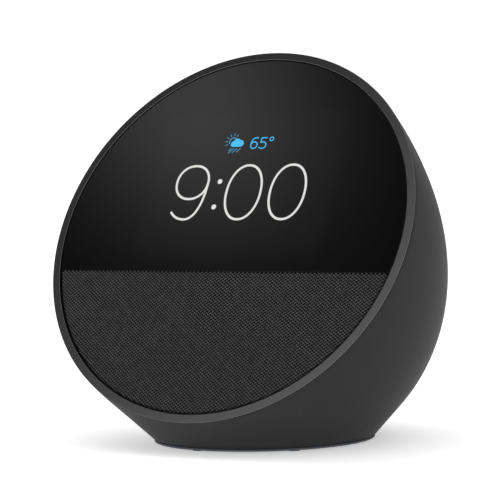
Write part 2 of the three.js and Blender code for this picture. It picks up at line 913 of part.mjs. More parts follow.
function speakerWire(side) {
  const x = side * 3;
  return hose(
    [
      [x, driverCentre + magnetRadius + 3.5, -plateFront + 1.5],
      [x * 1.5, driverCentre + magnetRadius + 8, -plateFront - 4],
      [x * 1.8, mainBoardCentre - mainBoardHeight / 2 + 4, -mainBoardDepth - 7],
      [x * 2, mainBoardCentre - mainBoardHeight / 2 + 7, -mainBoardDepth - boardThickness - 1.2],
    ],
    0.6,
  );
}

// ---- materials -----------------------------------------------------------------------

function finish(color, roughness, metalness = 0) {
  return new THREE.MeshStandardMaterial({ color, roughness, metalness });
}

const housingPlastic = finish(0x2e2f30, 0.55);
const ringPlastic = finish(0x353637, 0.45);
const darkGlass = finish(0x101112, 0.08);
const grilleClothFinish = finish(0x2b2c2d, 0.95);
const blackPlastic = finish(0x17181a, 0.6);
const buttonPlastic = finish(0x2a2b2c, 0.5);
const baseRubber = finish(0x4a4d52, 0.85);
const cellGlass = finish(0x22262b, 0.15);
const diffuserPlastic = finish(0xdfe4e6, 0.5);
const pressedSteel = finish(0xa7abad, 0.35, 0.9);
const boardResin = finish(0x1f5a3c, 0.5);
const ferrite = finish(0x3a3a3c, 0.7);
const conePaper = finish(0x1b1b1c, 0.85);
const coilCopper = finish(0xb36a3c, 0.4, 0.9);
const spiderCloth = finish(0xb08a4a, 0.9);
const finnedAluminium = finish(0xb9bcc0, 0.4, 0.9);
const flexFilm = finish(0xb8742e, 0.5);
const wireInsulation = finish(0x8f2620, 0.5);

// ---- assembly ------------------------------------------------------------------------

const speaker = new THREE.Group();
const face = new THREE.Group();
face.position.z = faceHeight;
face.rotation.x = (90 - faceTilt) * degrees;
const driver = new THREE.Group();
driver.position.y = driverCentre;
const stand = new THREE.Group();
face.add(driver);
speaker.add(face, stand);

function place(group, name, solid, material) {
  const mesh = new THREE.Mesh(toGeometry(solid), material);
  mesh.name = name;
  group.add(mesh);
}

place(face, "front_ring", frontRing(), ringPlastic);
place(face, "cover_lens", coverLens(), darkGlass);
place(face, "grille_cloth", grilleCloth(), grilleClothFinish);
place(face, "speaker_grille", speakerGrille(), blackPlastic);
place(face, "touch_sensor", screenLayer(sensorFront, sensorThickness, 0), cellGlass);
place(face, "display_cell", screenLayer(cellFront, cellThickness, trayWall + gap), cellGlass);
place(face, "display_light", screenLayer(lightFront, lightThickness, trayWall + gap), diffuserPlastic);
place(face, "display_tray", displayTray(), pressedSteel);
place(face, "display_flex", displayFlex(), flexFilm);
place(face, "front_chassis", frontChassis(), blackPlastic);

place(driver, "driver_gasket", driverGasket(), blackPlastic);
place(driver, "driver_basket", driverBasket(), pressedSteel);
place(driver, "driver_surround", surround(), blackPlastic);
place(driver, "driver_cone", cone(), conePaper);
place(driver, "driver_dust_cap", dustCap(), conePaper);
place(driver, "voice_coil", voiceCoil(), coilCopper);
place(driver, "driver_spider", spider(), spiderCloth);
place(driver, "driver_top_plate", topPlate(), pressedSteel);
place(driver, "driver_magnet", magnet(), ferrite);
place(driver, "driver_yoke", yoke(), pressedSteel);
driverScrewPlaces().forEach(([x, y], i) => {
  const length = flangeThickness + gasketThickness + 3 * gap + chassisThickness - 0.5;
  const under = flangeFront + flangeThickness + gap;
  const solid = screw(0, length).rotate([180, 0, 0]).translate([x, y, -under]);
  place(face, `driver_screw_${i + 1}`, solid, pressedSteel);
});

place(face, "main_board", mainBoard(), boardResin);
boardPostPlaces().forEach((spot, i) => {
  place(face, `board_screw_${i + 1}`, boardScrew(spot), pressedSteel);
});
place(face, "processor_heat_sink", heatSink(), finnedAluminium);
place(face, "radio_shield", boardPart(14, 3, 20, 15, 2.2), pressedSteel);
place(face, "amplifier_chip", boardPart(0, -11, 7, 5, 1), blackPlastic);
place(face, "speaker_wire_left", speakerWire(-1), wireInsulation);
place(face, "speaker_wire_right", speakerWire(1), wireInsulation);

place(stand, "rear_housing", rearHousing(), housingPlastic);
["volume_down", "volume_up", "mic_off"].forEach((name, i) => {
  place(stand, `${name}_button`, buttonCap(buttonPlaces[i]), buttonPlastic);
  place(stand, `${name}_switch`, switchBody(buttonPlaces[i]), blackPlastic);
});
place(stand, "button_board", buttonBoard(), boardResin);
["left", "right"].forEach((name, i) => {
  const side = i === 0 ? -1 : 1;
  place(stand, `microphone_${name}`, microphone(side * micSpread), pressedSteel);
  place(stand, `button_board_screw_${name}`, buttonBoardScrew(side * bossSpread), pressedSteel);
});
place(stand, "power_port_recess", portRecess(), blackPlastic);
place(stand, "power_jack", powerJack(), blackPlastic);
place(stand, "jack_board", jackBoard(), boardResin);
place(stand, "base_cover", baseCover(), baseRubber);
place(stand, "base_ballast", ballast(), pressedSteel);
baseScrewPlaces().forEach((spot, i) => {
  place(stand, `base_screw_${i + 1}`, baseScrew(spot), pressedSteel);
});
footPlaces().forEach((spot, i) => {
  place(stand, `foot_${i + 1}`, foot(spot), baseRubber);
});

// The origin is under the middle of the whole object, on the table.
speaker.updateMatrixWorld(true);
const middle = new THREE.Box3().setFromObject(speaker, true).getCenter(new THREE.Vector3());
speaker.position.set(-middle.x, -middle.y, 0);

export default speaker;
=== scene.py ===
import json
import math

import bpy
import numpy as np
from mathutils import Euler, Matrix, Vector


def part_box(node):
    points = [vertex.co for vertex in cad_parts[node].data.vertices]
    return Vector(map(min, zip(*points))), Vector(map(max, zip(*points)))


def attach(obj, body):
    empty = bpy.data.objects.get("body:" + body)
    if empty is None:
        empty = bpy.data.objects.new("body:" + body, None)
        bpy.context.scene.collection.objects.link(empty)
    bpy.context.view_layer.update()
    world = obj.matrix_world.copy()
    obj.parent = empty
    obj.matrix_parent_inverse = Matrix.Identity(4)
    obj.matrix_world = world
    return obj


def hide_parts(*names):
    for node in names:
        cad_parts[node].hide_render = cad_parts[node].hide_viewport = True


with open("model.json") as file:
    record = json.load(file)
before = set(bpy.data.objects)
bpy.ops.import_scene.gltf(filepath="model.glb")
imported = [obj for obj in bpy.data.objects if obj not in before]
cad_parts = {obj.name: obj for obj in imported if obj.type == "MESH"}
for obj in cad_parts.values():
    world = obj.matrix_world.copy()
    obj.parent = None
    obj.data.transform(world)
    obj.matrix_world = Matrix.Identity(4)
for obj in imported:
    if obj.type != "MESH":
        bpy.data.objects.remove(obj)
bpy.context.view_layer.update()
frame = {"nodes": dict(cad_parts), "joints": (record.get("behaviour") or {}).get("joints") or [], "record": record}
mm = 0.001
scene = bpy.context.scene

# The face frame: x to the right, y up along the leaning face, z straight out of it, in mm.
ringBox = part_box("front_ring")
joints = {joint["name"]: joint for joint in frame["joints"]}
coneAxis = Vector(joints["cone_travel"]["axis"])
tilt = math.atan2(coneAxis.z, -coneAxis.y)
ringRadius = ringBox[1].x / mm
ringFall = 0.2
faceCentre = Vector((
    0,
    ringBox[0].y / mm + ringRadius * math.sin(tilt) - ringFall * math.cos(tilt),
    ringBox[1].z / mm - ringRadius * math.cos(tilt) + ringFall * math.sin(tilt),
))
faceMatrix = Matrix.Translation(faceCentre) @ Matrix.Rotation(math.pi / 2 - tilt, 4, "X")

# The button frame: x along the row, y down the back, z out of the housing.
pressAxis = Vector(joints["volume_up_press"]["axis"])


def middleOf(name):
    low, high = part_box(name)
    return (low + high) / 2 / mm


def stage(text):
    print("stage:", text, flush=True)


# ---- mesh helpers ----

def newObject(name, data):
    thing = bpy.data.objects.new(name, data)
    scene.collection.objects.link(thing)
    return thing


def newMesh(name, points, faces, matrix=None):
    mesh = bpy.data.meshes.new(name)
    mesh.from_pydata([tuple(p) for p in points], [], [tuple(f) for f in faces])
    if matrix is not None:
        mesh.transform(matrix)
    return mesh


def makePiece(name, points, faces, matrix=None, body="speaker_body", slot=None, replaces=(),
              material=None, sharpAngle=32):
    mesh = newMesh(name, points, faces, matrix)
    mesh.transform(Matrix.Scale(mm, 4))
    return addPiece(name, mesh, body, replaces, material, sharpAngle)


def addPiece(name, mesh, body, replaces, material, sharpAngle=32):
    mesh.update()
    if sharpAngle is not None:
        mesh.polygons.foreach_set("use_smooth", [True] * len(mesh.polygons))
        mesh.set_sharp_from_angle(angle=math.radians(sharpAngle))
        mesh = flatWeighted(mesh)
    piece = newObject(name, mesh)
    if material is not None:
        mesh.materials.clear()
        mesh.materials.append(material)
    if replaces:
        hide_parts(*replaces)
    if body:
        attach(piece, body)
    return piece


# The same mesh with its normals led by the large faces, so small roundings stay local.
def flatWeighted(mesh):
    carrier = newObject("weighting", mesh)
    modifier = carrier.modifiers.new("weighting", "WEIGHTED_NORMAL")
    modifier.keep_sharp = True
    graph = bpy.context.evaluated_depsgraph_get()
    result = bpy.data.meshes.new_from_object(carrier.evaluated_get(graph))
    bpy.data.objects.remove(carrier)
    bpy.data.meshes.remove(mesh)
    return result


def gridFaces(rows, columns, closeRows=False):
    faces = []
    for row in range(rows if closeRows else rows - 1):
        far = (row + 1) % rows
        for i in range(columns):
            j = (i + 1) % columns
            faces.append((row * columns + i, row * columns + j, far * columns + j,
                          far * columns + i))
    return faces


# A closed [radius, z] outline whose corners are rounded by the given radii.
def softened(outline, radii, steps=4):
    result = []
    count = len(outline)
    for i, point in enumerate(outline):
        here = np.array(point, float)
        radius = radii[i] if hasattr(radii, "__len__") else radii
        before = np.array(outline[i - 1], float) - here
        after = np.array(outline[(i + 1) % count], float) - here
        room = min(np.linalg.norm(before), np.linalg.norm(after)) * 0.49
        before /= np.linalg.norm(before)
        after /= np.linalg.norm(after)
        turn = math.acos(max(-1, min(1, float(before @ after))))
        reach = min(room, radius / math.tan(turn / 2)) if radius > 0 else 0
        if reach < 1e-4 or turn > 3.1:
            result.append(tuple(here))
            continue
        start, end = here + before * reach, here + after * reach
        for k in range(steps + 1):
            t = k / steps
            weight = max(0.2, math.sin(turn / 2))
            a, b, c = (1 - t) ** 2, 2 * t * (1 - t) * weight, t ** 2
            result.append(tuple((a * start + b * here + c * end) / (a + b + c)))
    return result


def circle(radius, segments, x=0, y=0):
    angles = [2 * math.pi * i / segments for i in range(segments)]
    return [(x + radius * math.cos(a), y + radius * math.sin(a)) for a in angles]


def turned(outline, segments):
    points = [(x, y, z) for r, z in outline for x, y in circle(r, segments)]
    return points, outward(points, gridFaces(len(outline), segments, closeRows=True))


# A round solid that ends on the axis: an open outline from its lowest to its highest centre.
def domed(outline, segments):
    points = [(x, y, z) for r, z in outline[1:-1] for x, y in circle(r, segments)]
    return poled(points, segments, (0, 0, outline[0][1]), (0, 0, outline[-1][1]))


# Rings of points, closed by a fan to a centre below the first and above the last.
def poled(points, segments, low, high):
    rows = len(points) // segments
    faces = gridFaces(rows, segments)
    lowPole, highPole = len(points), len(points) + 1
    last = (rows - 1) * segments
    for i in range(segments):
        j = (i + 1) % segments
        faces.append((lowPole, j, i))
        faces.append((highPole, last + i, last + j))
    points = [*points, low, high]
    return points, outward(points, faces)


# Rows of points with a flat face over the first and over the last.
def capped(points, rows):
    count = len(points) // rows
    faces = gridFaces(rows, count)
    faces.append(tuple(range(count))[::-1])
    faces.append(tuple((rows - 1) * count + i for i in range(count)))
    return points, outward(points, faces)


# Turns every face outwards when the closed mesh's volume comes out negative.
def outward(points, faces):
    p = np.array(points, float)
    volume = 0.0
    for face in faces:
        a = p[face[0]]
        for i in range(1, len(face) - 1):
            volume += a @ np.cross(p[face[i]], p[face[i + 1]])
    return faces if volume > 0 else [tuple(reversed(face)) for face in faces]


def combined(parts):
    points, faces = [], []
    for somePoints, someFaces in parts:
        shift = len(points)
        points += list(somePoints)
        faces += [tuple(i + shift for i in face) for face in someFaces]
    return points, faces


def shifted(part, offset):
    points, faces = part
    return [tuple(np.array(p) + np.array(offset)) for p in points], faces


# The exact difference or intersection of a mesh with cutters, all in mm.
def carved(part, matrix, cutters, operation="DIFFERENCE"):
    base = newObject("carving", newMesh("carving", *part, matrix))
    tools = []
    for i, (cutter, cutterMatrix) in enumerate(cutters):
        tool = newObject(f"carving_tool_{i}", newMesh(f"carving_tool_{i}", *cutter, cutterMatrix))
        tools.append(tool)
        modifier = base.modifiers.new(f"cut_{i}", "BOOLEAN")
        modifier.operation = operation
        modifier.solver = "EXACT"
        modifier.object = tool
    graph = bpy.context.evaluated_depsgraph_get()
    mesh = bpy.data.meshes.new_from_object(base.evaluated_get(graph))
    for thing in [base, *tools]:
        old = thing.data
        bpy.data.objects.remove(thing)
        bpy.data.meshes.remove(old)
    return mesh


def boxPart(low, high):
    points = [(x, y, z) for x in (low[0], high[0]) for y in (low[1], high[1])
              for z in (low[2], high[2])]
    faces = [(0, 1, 3, 2), (4, 6, 7, 5), (0, 4, 5, 1), (2, 3, 7, 6), (0, 2, 6, 4), (1, 5, 7, 3)]
    return points, outward(points, faces)


# ---- materials ----

class Nodes:
    def __init__(self, name, roughness=0.5, metallic=0.0, specular=0.5, **sockets):
        self.material = bpy.data.materials.new(name)
        self.material.use_nodes = True
        self.tree = self.material.node_tree
        self.shader = self.tree.nodes["Principled BSDF"]
        self.shader.inputs["Roughness"].default_value = roughness
        self.shader.inputs["Metallic"].default_value = metallic
        self.shader.inputs["Specular IOR Level"].default_value = specular
        for key, value in sockets.items():
            self.shader.inputs[key.replace("_", " ")].default_value = value
        self.place = self.add("ShaderNodeTexCoord").outputs["Object"]

    def add(self, kind, **settings):
        node = self.tree.nodes.new(kind)
        for key, value in settings.items():
            setattr(node, key, value)
        return node

    def link(self, source, target):
        self.tree.links.new(source, target)

    def set(self, node, socket, value):
        if hasattr(value, "is_output"):
            self.link(value, node.inputs[socket])
        else:
            node.inputs[socket].default_value = value

    def math(self, operation, a, b=0.0, c=0.0):
        node = self.add("ShaderNodeMath", operation=operation)
        self.set(node, 0, a)
        self.set(node, 1, b)
        self.set(node, 2, c)
        return node.outputs[0]

    def range(self, value, low, high, lowTo=0.0, highTo=1.0, smooth=False):
        node = self.add("ShaderNodeMapRange")
        if smooth:
            node.interpolation_type = "SMOOTHSTEP"
        for socket, number in (("Value", value), ("From Min", low), ("From Max", high),
                               ("To Min", lowTo), ("To Max", highTo)):
            self.set(node, socket, number)
        return node.outputs[0]

    # Noise whose blobs are about size mm across.
    def noise(self, size, detail=3.0, stretch=None):
        node = self.add("ShaderNodeTexNoise")
        node.inputs["Scale"].default_value = 1 / (size * mm)
        node.inputs["Detail"].default_value = detail
        place = self.place
        if stretch:
            mapping = self.add("ShaderNodeMapping")
            mapping.inputs["Scale"].default_value = stretch
            self.link(place, mapping.inputs["Vector"])
            place = mapping.outputs[0]
        self.link(place, node.inputs["Vector"])
        return node.outputs["Fac"]

    def mix(self, factor, a, b):
        node = self.add("ShaderNodeMix", data_type="RGBA")
        self.set(node, 0, factor)
        for socket, colour in ((6, a), (7, b)):
            self.set(node, socket, colour if hasattr(colour, "is_output") else tone(colour))
        return node.outputs[2]

    def colour(self, output):
        self.link(output, self.shader.inputs["Base Color"])

    def bump(self, height, depth, strength=1.0, onto=None):
        node = self.add("ShaderNodeBump")
        node.inputs["Strength"].default_value = strength
        node.inputs["Distance"].default_value = depth * mm
        self.link(height, node.inputs["Height"])
        if onto is not None:
            self.link(onto, node.inputs["Normal"])
        return node.outputs[0]

    def normal(self, output):
        self.link(output, self.shader.inputs["Normal"])


def tone(colour):
    return (*colour, 1) if len(colour) == 3 else tuple(colour)


def scaled(colour, factor):
    return tuple(min(1, c * factor) for c in colour)


# Moulded plastic: a faint mottle in the tone and a fine, shallow spark texture.
def mouldedPlastic(name, colour, roughness, variation=0.08, grain=0.35, depth=0.006, **sockets):
    nodes = Nodes(name, roughness, **sockets)
    cloud = nodes.noise(9, 4)
    fine = nodes.noise(grain, 2)
    factor = nodes.math("ADD", nodes.math("MULTIPLY", cloud, 0.6), nodes.math("MULTIPLY", fine, 0.4))
    factor = nodes.range(factor, 0.3, 0.7)
    nodes.colour(nodes.mix(factor, scaled(colour, 1 - variation), scaled(colour, 1 + variation)))
    nodes.normal(nodes.bump(fine, depth))
    return nodes.material


def metal(name, colour, roughness, stretch=(1, 1, 12), variation=0.12):
    nodes = Nodes(name, roughness, metallic=1.0)
    streaks = nodes.noise(1.2, 4, stretch)
    nodes.colour(nodes.mix(nodes.range(streaks, 0.3, 0.7), scaled(colour, 1 - variation),
                           scaled(colour, 1 + variation)))
    nodes.normal(nodes.bump(streaks, 0.006))
    return nodes.material


def circuitBoard(name):
    nodes = Nodes(name, 0.45)
    bricks = nodes.add("ShaderNodeTexBrick", offset=0.5)
    bricks.inputs["Scale"].default_value = 1 / (4 * mm)
    bricks.inputs["Mortar Size"].default_value = 0.03
    nodes.link(nodes.place, bricks.inputs["Vector"])
    tracks = nodes.range(bricks.outputs["Fac"], 0.2, 0.8)
    ground = nodes.mix(nodes.range(nodes.noise(3), 0.35, 0.65), (0.010, 0.085, 0.045),
                       (0.018, 0.12, 0.06))
    nodes.colour(nodes.mix(tracks, ground, (0.03, 0.17, 0.09)))
    nodes.normal(nodes.bump(tracks, 0.02))
    return nodes.material


def woundCopper(name):
    nodes = Nodes(name, 0.35, metallic=1.0)
    waves = nodes.add("ShaderNodeTexWave", bands_direction="Z")
    waves.inputs["Scale"].default_value = 1 / (1.5 * mm)
    waves.inputs["Distortion"].default_value = 0.6
    nodes.link(nodes.place, waves.inputs["Vector"])
    nodes.colour(nodes.mix(waves.outputs["Fac"], (0.42, 0.15, 0.05), (0.62, 0.27, 0.10)))
    nodes.normal(nodes.bump(waves.outputs["Fac"], 0.03))
    return nodes.material


def fibrous(name, dark, light, size, depth, roughness=0.85, stretch=(1, 1, 3)):
    nodes = Nodes(name, roughness, specular=0.3)
    fibres = nodes.noise(size, 5, stretch)
    nodes.colour(nodes.mix(nodes.range(fibres, 0.35, 0.65), dark, light))
    nodes.normal(nodes.bump(fibres, depth))
    return nodes.material


coverGlass = {
    "tint": (0.0012, 0.0012, 0.0013),
    "roughness": 0.12,
    "litTint": (0.0015, 0.0016, 0.0017),  # how much the switched-on display lifts the black
    "litLow": (-29.3, -6.0),
    "litHigh": (30.0, 37.1),
}


# Black-masked glass whose display area glows very slightly. The face's own x and y are the
# object's x and its distance up the leaning face.
def glassFinish():
    nodes = Nodes("cover_glass_finish", coverGlass["roughness"], specular=0.5)
    smear = nodes.noise(14, 3)
    nodes.colour(nodes.mix(nodes.range(smear, 0.3, 0.7), scaled(coverGlass["tint"], 0.92),
                           scaled(coverGlass["tint"], 1.08)))
    parts = nodes.add("ShaderNodeSeparateXYZ")
    nodes.link(nodes.place, parts.inputs[0])
    x = nodes.math("MULTIPLY", parts.outputs["X"], 1 / mm)
    y = nodes.math("SUBTRACT", parts.outputs["Y"], faceCentre.y * mm)
    z = nodes.math("SUBTRACT", parts.outputs["Z"], faceCentre.z * mm)
    along = nodes.math("ADD", nodes.math("MULTIPLY", y, math.sin(tilt) / mm),
                       nodes.math("MULTIPLY", z, math.cos(tilt) / mm))
    edges = []
    for value, low, high in ((x, coverGlass["litLow"][0], coverGlass["litHigh"][0]),
                             (along, coverGlass["litLow"][1], coverGlass["litHigh"][1])):
        edges.append(nodes.range(value, low - 0.2, low + 0.2))
        edges.append(nodes.range(value, high + 0.2, high - 0.2))
    inside = nodes.math("MULTIPLY", nodes.math("MULTIPLY", edges[0], edges[1]),
                        nodes.math("MULTIPLY", edges[2], edges[3]))
    glow = nodes.mix(inside, (0, 0, 0), coverGlass["litTint"])
    nodes.link(glow, nodes.shader.inputs["Emission Color"])
    nodes.shader.inputs["Emission Strength"].default_value = 1.0
    nodes.normal(nodes.bump(smear, 0.0008))
    return nodes.material


# The yarns' dark and light tones are painted shade and painted highlight, set by how far under the face each point
# lies.
yarnToneAndPaintedLight = {
    "dark": (0.0015, 0.0015, 0.0016),
    "light": (0.118, 0.119, 0.121),
    "low": -0.62,  # levels under the face between which a yarn goes from painted shade to painted highlight
    "high": -0.27,
    "roughness": 0.85,
}


# Spun yarn: fine fibres twisted along each thread, with painted light: lighter where they stand proud (painted
# highlight) and darker in the dips (painted shade).
def yarnMaterial(name, direction):
    nodes = Nodes(name, yarnToneAndPaintedLight["roughness"], specular=0.15)
    mapping = nodes.add("ShaderNodeMapping", vector_type="TEXTURE")
    mapping.inputs["Location"].default_value = faceCentre * mm
    mapping.inputs["Rotation"].default_value = (math.pi / 2 - tilt, 0, 0)
    nodes.link(nodes.place, mapping.inputs["Vector"])
    turn = nodes.add("ShaderNodeMapping")
    turn.inputs["Rotation"].default_value = (0, 0, -direction)
    turn.inputs["Scale"].default_value = (1, 6, 6)
    nodes.link(mapping.outputs[0], turn.inputs["Vector"])
    fibres = nodes.add("ShaderNodeTexNoise")
    fibres.inputs["Scale"].default_value = 1 / (0.9 * mm)
    fibres.inputs["Detail"].default_value = 4
    nodes.link(turn.outputs[0], fibres.inputs["Vector"])
    parts = nodes.add("ShaderNodeSeparateXYZ")
    nodes.link(mapping.outputs[0], parts.inputs[0])
    # painted light: the yarn is coloured darker the deeper it lies and lighter where it stands proud
    proudPaintedLight = nodes.range(parts.outputs["Z"], yarnToneAndPaintedLight["low"] * mm, yarnToneAndPaintedLight["high"] * mm)
    uneven = nodes.range(nodes.noise(1.6, 2), 0.3, 0.7, 0.7, 1.0)
    factor = nodes.math("MULTIPLY", nodes.math("MULTIPLY", proudPaintedLight, uneven),
                        nodes.range(fibres.outputs["Fac"], 0.3, 0.7, 0.55, 1.0))
    nodes.colour(nodes.mix(factor, yarnToneAndPaintedLight["dark"], yarnToneAndPaintedLight["light"]))
    nodes.normal(nodes.bump(fibres.outputs["Fac"], 0.05))
    return nodes.material


def displayLight(name, colour, strength):
    nodes = Nodes(name, 0.4)
    grid = nodes.noise(0.15, 1)
    shade = nodes.mix(nodes.range(grid, 0.3, 0.7), scaled(colour, 0.94), colour)
    nodes.colour(nodes.mix(grid, (0.01, 0.01, 0.01), (0.02, 0.02, 0.02)))
    nodes.link(shade, nodes.shader.inputs["Emission Color"])
    nodes.shader.inputs["Emission Strength"].default_value = strength
    return nodes.material


housingFinish = mouldedPlastic("housing_finish", (0.028, 0.0282, 0.0287), 0.5, depth=0.008,
                               specular=0.05)
ringFinish = mouldedPlastic("ring_finish", (0.006, 0.0061, 0.0062), 0.27, grain=0.25,
                            depth=0.0015, specular=0.85, IOR=1.7)
buttonFinish = mouldedPlastic("button_finish", (0.022, 0.0225, 0.023), 0.5, depth=0.006)
symbolFinish = mouldedPlastic("symbol_finish", (0.30, 0.31, 0.32), 0.6, grain=0.2, depth=0.003)
blackFinish = mouldedPlastic("black_finish", (0.010, 0.010, 0.011), 0.55, depth=0.006)
rubberFinish = mouldedPlastic("rubber_finish", (0.070, 0.076, 0.088), 0.8, grain=0.5, depth=0.01)
# A near-black sheet behind the yarns: painted shade for the dark seen through the weave's holes.
backingPaintedShade = fibrous("backing_finish", (0.001, 0.001, 0.001), (0.003, 0.003, 0.003), 0.5, 0.02)

slotFinishes = {
    "housing_plastic": housingFinish,
    "ring_plastic": ringFinish,
    "cover_glass": glassFinish(),
    "grille_cloth": backingPaintedShade,
    "black_plastic": blackFinish,
    "button_plastic": buttonFinish,
    "display_glass": mouldedPlastic("cell_finish", (0.02, 0.023, 0.027), 0.12, depth=0.001),
    "diffuser": mouldedPlastic("diffuser_finish", (0.7, 0.74, 0.76), 0.5, 0.03, depth=0.002),
    "steel": metal("steel_finish", (0.44, 0.45, 0.46), 0.34),
    "flex_film": mouldedPlastic("film_finish", (0.45, 0.20, 0.05), 0.4, 0.15, depth=0.002),
    "cone_paper": fibrous("cone_finish", (0.008, 0.008, 0.008), (0.018, 0.018, 0.019), 0.6, 0.04),
    "coil_copper": woundCopper("coil_finish"),
    "spider_cloth": fibrous("spider_finish", (0.30, 0.19, 0.06), (0.46, 0.32, 0.13), 0.5, 0.05),
    "ferrite": fibrous("ferrite_finish", (0.035, 0.035, 0.038), (0.06, 0.06, 0.065), 0.4, 0.02,
                       0.6, (1, 1, 1)),
    "board_resin": circuitBoard("board_finish"),
    "aluminium": metal("aluminium_finish", (0.60, 0.61, 0.62), 0.38, (1, 1, 9)),
    "wire_insulation": mouldedPlastic("wire_finish", (0.30, 0.02, 0.015), 0.4, depth=0.003),
    "base_rubber": rubberFinish,
}
for subpart in frame["record"]["subparts"]:
    node = frame["nodes"][subpart["node"]]
    for slotItem in node.material_slots:
        slotItem.material = slotFinishes[subpart["material_slot"]]
stage("finishes ready")


# ---- camera, floor and light ----

view = {
    "place": (344.947, -572.558, 20.903),  # from the centre of the face, in mm
    "turn": (87.7714, 1.0875, 30.5048),  # up from straight down, roll, heading, in degrees
    "lens": 174.27,
}
cameraData = bpy.data.cameras.new("camera")
cameraData.lens = view["lens"]
cameraData.sensor_width = 36
cameraData.clip_end = 100
camera = newObject("camera", cameraData)
turnMatrix = Euler([math.radians(angle) for angle in view["turn"]]).to_matrix().to_4x4()
camera.matrix_world = Matrix.Translation((faceCentre + Vector(view["place"])) * mm) @ turnMatrix
scene.camera = camera
scene.view_settings.view_transform = "Standard"

floorLook = {"half": 30, "mottle": 60, "dark": (0.93, 0.93, 0.93), "light": (0.97, 0.97, 0.97),
             "glow": 0.4}


def makeFloor():
    half = floorLook["half"]
    corners = [(-half, -half, 0), (half, -half, 0), (half, half, 0), (-half, half, 0)]
    floor = newObject("floor", newMesh("floor", corners, [(0, 1, 2, 3)]))
    nodes = Nodes("floor_finish", 0.9, specular=0.1)
    nodes.colour(nodes.mix(nodes.noise(floorLook["mottle"]), floorLook["dark"], floorLook["light"]))
    nodes.shader.inputs["Emission Color"].default_value = (1, 1, 1, 1)
    nodes.shader.inputs["Emission Strength"].default_value = floorLook["glow"]
    floor.data.materials.append(nodes.material)


makeFloor()

studio = {
    "strength": 1.25,
    # direction, radius inside which the dome is darkest and where it is full again, darkness
    "shade": ((-0.58, -0.40, 0.71), 13, 27, 0.96),
    # direction, half width in degrees and brightness of each soft light
    "lights": [((-0.525, -0.471, 0.709), 2.0, 1.15), ((0.8, 0.6, 0.1), 50, -0.75)],
}


# A white dome with one dark patch high at the front left, and a small soft light in it.
def makeStudio():
    world = bpy.data.worlds.new("studio")
    scene.world = world
    world.use_nodes = True
    tree = world.node_tree
    background = tree.nodes["Background"]
    place = tree.nodes.new("ShaderNodeTexCoord").outputs["Generated"]

    def fill(node, values):
        for socket, value in enumerate(values):
            if hasattr(value, "is_output"):
                tree.links.new(value, node.inputs[socket])
            else:
                node.inputs[socket].default_value = value
        return node.outputs[0]

    def step(operation, *values):
        node = tree.nodes.new("ShaderNodeMath")
        node.operation = operation
        return fill(node, values)

    def towards(direction):
        node = tree.nodes.new("ShaderNodeVectorMath")
        node.operation = "DOT_PRODUCT"
        tree.links.new(place, node.inputs[0])
        node.inputs[1].default_value = Vector(direction).normalized()
        return node.outputs["Value"]

    direction, darkest, full, darkness = studio["shade"]
    patch = tree.nodes.new("ShaderNodeMapRange")
    patch.interpolation_type = "SMOOTHSTEP"
    total = fill(patch, [towards(direction), math.cos(math.radians(full)),
                         math.cos(math.radians(darkest)), 1.0, 1 - darkness])
    for direction, width, brightness in studio["lights"]:
        tightness = math.log(2) / (1 - math.cos(math.radians(width)))
        away = step("SUBTRACT", towards(direction), 1.0)
        lobe = step("EXPONENT", step("MULTIPLY", away, tightness))
        total = step("MULTIPLY_ADD", lobe, brightness, total)
    shade = tree.nodes.new("ShaderNodeCombineColor")
    for i in range(3):
        tree.links.new(total, shade.inputs[i])
    tree.links.new(shade.outputs[0], background.inputs["Color"])
    background.inputs["Strength"].default_value = studio["strength"]


makeStudio()
stage("camera, floor and light ready")


# ---- front ring ----

ringShape = {
    "inner": 54.2,
    "fall": ringFall,
    "edge": 0.2,
    "ledge": 52.7,
    "ledgeFront": 2.75,
    "spigot": 55.2,
    "spigotEnd": 3.8,
    "innerRound": 0.12,
    "outerRound": 0.08,
}


def buildRing():
    r = ringShape
    edgeBack = r["fall"] + r["edge"]
    outline = [(r["inner"], 0), (r["inner"], -r["ledgeFront"]), (r["ledge"], -r["ledgeFront"]),
               (r["ledge"], -r["spigotEnd"]), (r["spigot"], -r["spigotEnd"]),
               (r["spigot"], -edgeBack), (ringRadius, -edgeBack), (ringRadius, -r["fall"])]
    radii = [r["innerRound"], 0.1, 0.1, 0.2, 0.2, 0.1, 0.05, r["outerRound"]]
    makePiece("front_ring_band", *turned(softened(outline, radii, 5), 320), faceMatrix,
              slot="ring_plastic", replaces=["front_ring"], material=ringFinish, sharpAngle=25)


buildRing()


# ---- glass and cloth ----

panel = {"radius": 53.9, "split": -11.9, "splitGap": 0.1, "recess": 0.25, "lens": 1.1}


# The circle's part above or below the split line, moved in by inset: always the same count.
def halfOutline(above, inset, arcSteps=240, lineSteps=40):
    radius = panel["radius"] - inset
    side = 1 if above else -1
    level = panel["split"] + side * (panel["splitGap"] / 2 + inset)
    start = math.asin(level / radius)
    end = math.pi - start
    if not above:
        start, end = start + 2 * math.pi, end
    points = []
    for i in range(arcSteps + 1):
        angle = start + (end - start) * i / arcSteps
        points.append((radius * math.cos(angle), radius * math.sin(angle)))
    left, rightEnd = points[-1][0], points[0][0]
    for i in range(1, lineSteps):
        points.append((left + (rightEnd - left) * i / lineSteps, level))
    return points


# A flat plate with the given outline function and a softly rounded front edge.
def softPlate(outlineAt, front, backLevel, edge, steps=5):
    rows = [(0.0, backLevel)]
    rows += [(edge * (1 - math.cos(a)), front - edge * (1 - math.sin(a)))
             for a in np.linspace(0, math.pi / 2, steps + 1)]
    points = []
    for inset, level in rows:
        points += [(x, y, level) for x, y in outlineAt(inset)]
    return capped(points, len(rows))


def buildGlass():
    part = softPlate(lambda inset: halfOutline(True, inset), -panel["recess"],
                     -panel["recess"] - panel["lens"], 0.05)
    makePiece("cover_lens_glass", *part, faceMatrix, slot="cover_glass", replaces=["cover_lens"],
              material=slotFinishes["cover_glass"], sharpAngle=40)


buildGlass()

